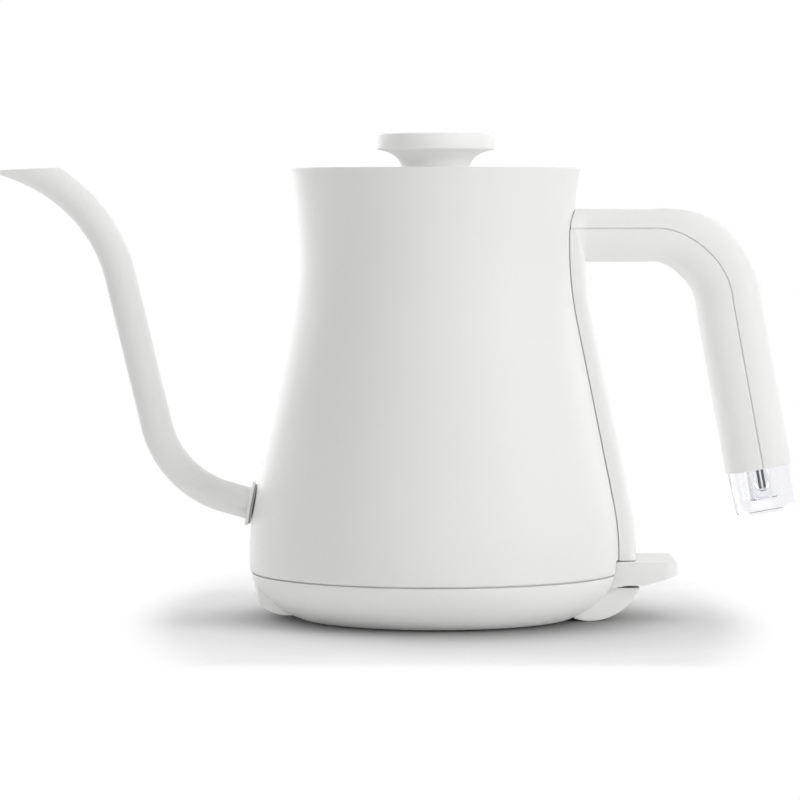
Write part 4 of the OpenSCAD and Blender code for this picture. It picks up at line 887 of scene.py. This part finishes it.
# the vessel's welded floor, a shallow dish with a rounded foot to its skirt
dish = {"z": 30, "t": 1, "skirtH": 3, "play": 0.05, "cornerR": 1.6}

def makeDish():
    low, high, out = dish["z"] - dish["t"], dish["z"] + dish["skirtH"], -sheet - dish["play"]
    r = bodyR(dish["z"]) + out - dish["t"]
    corner = arc((r - dish["cornerR"], dish["z"] + dish["cornerR"]), dish["cornerR"], -90, 0, 6)
    return revolve("vesselFloor", [(0, low)] + wallLine(low, high, out, 6)
        + [(bodyR(high) + out - dish["t"], high)] + corner[::-1] + [(0, dish["z"])], lidSteps)

place(makeDish(), brushedSteel, "vessel_floor")
print("lid and vessel ready")

# hidden parts keep the construction's shape and get their own finish
hidden = {"heat_spreader": castAluminium, "heater_coil": castAluminium, "base_pillars": zincPlate,
    "bimetal_disc": zincPlate, "steam_switch": blackPolyamide, "steam_tube": greySilicone,
    "handle_bracket": zincPlate, "handle_screws": zincPlate, "lamp_wires": wireSheath}
for name, material in hidden.items():
    dress(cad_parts[name], material)

# the stage: white paper with a painted shadow, darker close to the kettle, that fades out all round it
paper = {"low": (-3, -2), "high": (3, 3), "colour": "#FCFCFC", "roughness": 0.9,
    # painted shadow: its centre and reach in metres, then the paper's grey at shares of that reach
    "darkAt": (0.005, 0, 0), "darkReach": 0.13,
    "dark": {0.34: 0.16, 0.44: 0.36, 0.51: 0.5, 0.58: 0.66, 0.65: 0.77, 0.73: 0.85, 0.86: 0.93, 1: 1},
    "fadeAt": (0.004, 0, 0), "fadeShape": (1.35, 0.6, 1), "fade": (0.118, 0.15), "frontFade": (-0.128, -0.15)}

# how far a place is from a point, with the axes stretched by shape
def farFrom(tree, where, point, shape=(1, 1, 1)):
    for operation, value in (("SUBTRACT", point), ("MULTIPLY", shape)):
        node = addNode(tree, "ShaderNodeVectorMath", {0: where, 1: value}, operation=operation)
        where = node.outputs["Vector"]
    return addNode(tree, "ShaderNodeVectorMath", {0: where}, operation="LENGTH").outputs["Value"]

# 1 for camera, glossy and transmission rays, which see the white studio, 0 for the light on things
def seenDirectly(tree):
    path = addNode(tree, "ShaderNodeLightPath")
    most = path.outputs["Is Camera Ray"]
    for kind in ("Is Glossy Ray", "Is Transmission Ray"):
        most = calc(tree, "MAXIMUM", most, path.outputs[kind])
    return most

def makePaper():
    material, tree, shader, where = newMaterial("whitePaperPaintedShadow")
    shader.inputs["Roughness"].default_value = paper["roughness"]
    seen = seenDirectly(tree)
    # painted shadow: for camera, glossy and transmission rays a grey ramp darkens the paper close to the
    # kettle, while the light the paper throws back stays plain white
    near = remap(tree, farFrom(tree, where, paper["darkAt"]), (0, paper["darkReach"]))
    dark = addNode(tree, "ShaderNodeValToRGB", {"Fac": near})
    stops = dark.color_ramp.elements
    while len(stops) > 1:
        stops.remove(stops[-1])
    for reach, grey in paper["dark"].items():
        stop = stops.new(reach)
        stop.color = (grey, grey, grey, 1)
    stops.remove(stops[0])
    mixColour(tree, shader, seen, linear(paper["colour"]), dark.outputs["Color"], blend_type="MULTIPLY")
    away = farFrom(tree, where, paper["fadeAt"], paper["fadeShape"])
    depth = addNode(tree, "ShaderNodeSeparateXYZ", {"Vector": where}).outputs["Y"]
    side, front = (remap(tree, source, paper[key], interpolation_type="SMOOTHSTEP")
        for source, key in ((away, "fade"), (depth, "frontFade")))
    faded = calc(tree, "MULTIPLY", calc(tree, "MAXIMUM", side, front), seen)
    glow = addNode(tree, "ShaderNodeEmission")
    blend = addNode(tree, "ShaderNodeMixShader",
        {"Fac": faded, 1: shader.outputs["BSDF"], 2: glow.outputs["Emission"]})
    tree.links.new(blend.outputs["Shader"], tree.nodes["Material Output"].inputs["Surface"])
    return material

floorMesh = bpy.data.meshes.new("floor")
(x0, y0), (x1, y1) = paper["low"], paper["high"]
floorMesh.from_pydata([(x0, y0, 0), (x1, y0, 0), (x1, y1, 0), (x0, y1, 0)], [], [(0, 1, 2, 3)])
floor = addObject("floor", floorMesh)
dress(floor, makePaper())

# the world: white where it is looked at, almost black as a light
studio = {"ambient": 0.02, "seen": 1.0, "aim": (0, 0, 0.08)}
world = bpy.data.worlds.new("studio")
bpy.context.scene.world = world
world.use_nodes = True
tree = world.node_tree
background = tree.nodes["Background"]
background.inputs["Color"].default_value = (1, 1, 1, 1)
strength = remap(tree, seenDirectly(tree), end=(studio["ambient"], studio["seen"]))
tree.links.new(strength, background.inputs["Strength"])

# name: place, size and watts of each softbox, all aimed at the middle of the kettle
lamps = {"rightBox": ((1.3, -0.7, 0.7), (0.9, 1.2), 11.9), "topBox": ((0, 0.1, 1.7), (2.2, 2.2), 16),
    "leftBox": ((-1.2, 0.8, 0.6), (0.7, 1.2), 4.5), "leftRim": ((-0.9, 1.4, 0.5), (0.8, 1.2), 10.7),
    "rightRim": ((1.0, 1.1, 0.7), (0.8, 1.0), 5.2), "leftFill": ((-1.0, -1.1, 0.8), (0.9, 0.9), 4),
    "lowFill": ((0.15, -1.7, 0.25), (1.0, 0.5), 3.2)}
for name, (at, size, watts) in lamps.items():
    data = bpy.data.lights.new(name, "AREA")
    data.shape, data.size, data.size_y, data.energy = "RECTANGLE", size[0], size[1], watts
    softbox = addObject(name, data)
    softbox.location = at
    softbox.rotation_euler = (Vector(studio["aim"]) - Vector(at)).to_track_quat("-Z", "Y").to_euler()
    softbox.visible_camera = False

view = {"at": (-0.012, -1.305, 0.1388), "down": 2.857, "lens": 173.5, "sensor": 36}
cameraData = bpy.data.cameras.new("camera")
cameraData.lens, cameraData.sensor_width = view["lens"], view["sensor"]
camera = addObject("camera", cameraData)
camera.location = view["at"]
camera.rotation_euler = (math.radians(90 - view["down"]), 0, 0)
bpy.context.scene.camera = camera
bpy.context.scene.view_settings.view_transform = "Standard"
print("stage ready")
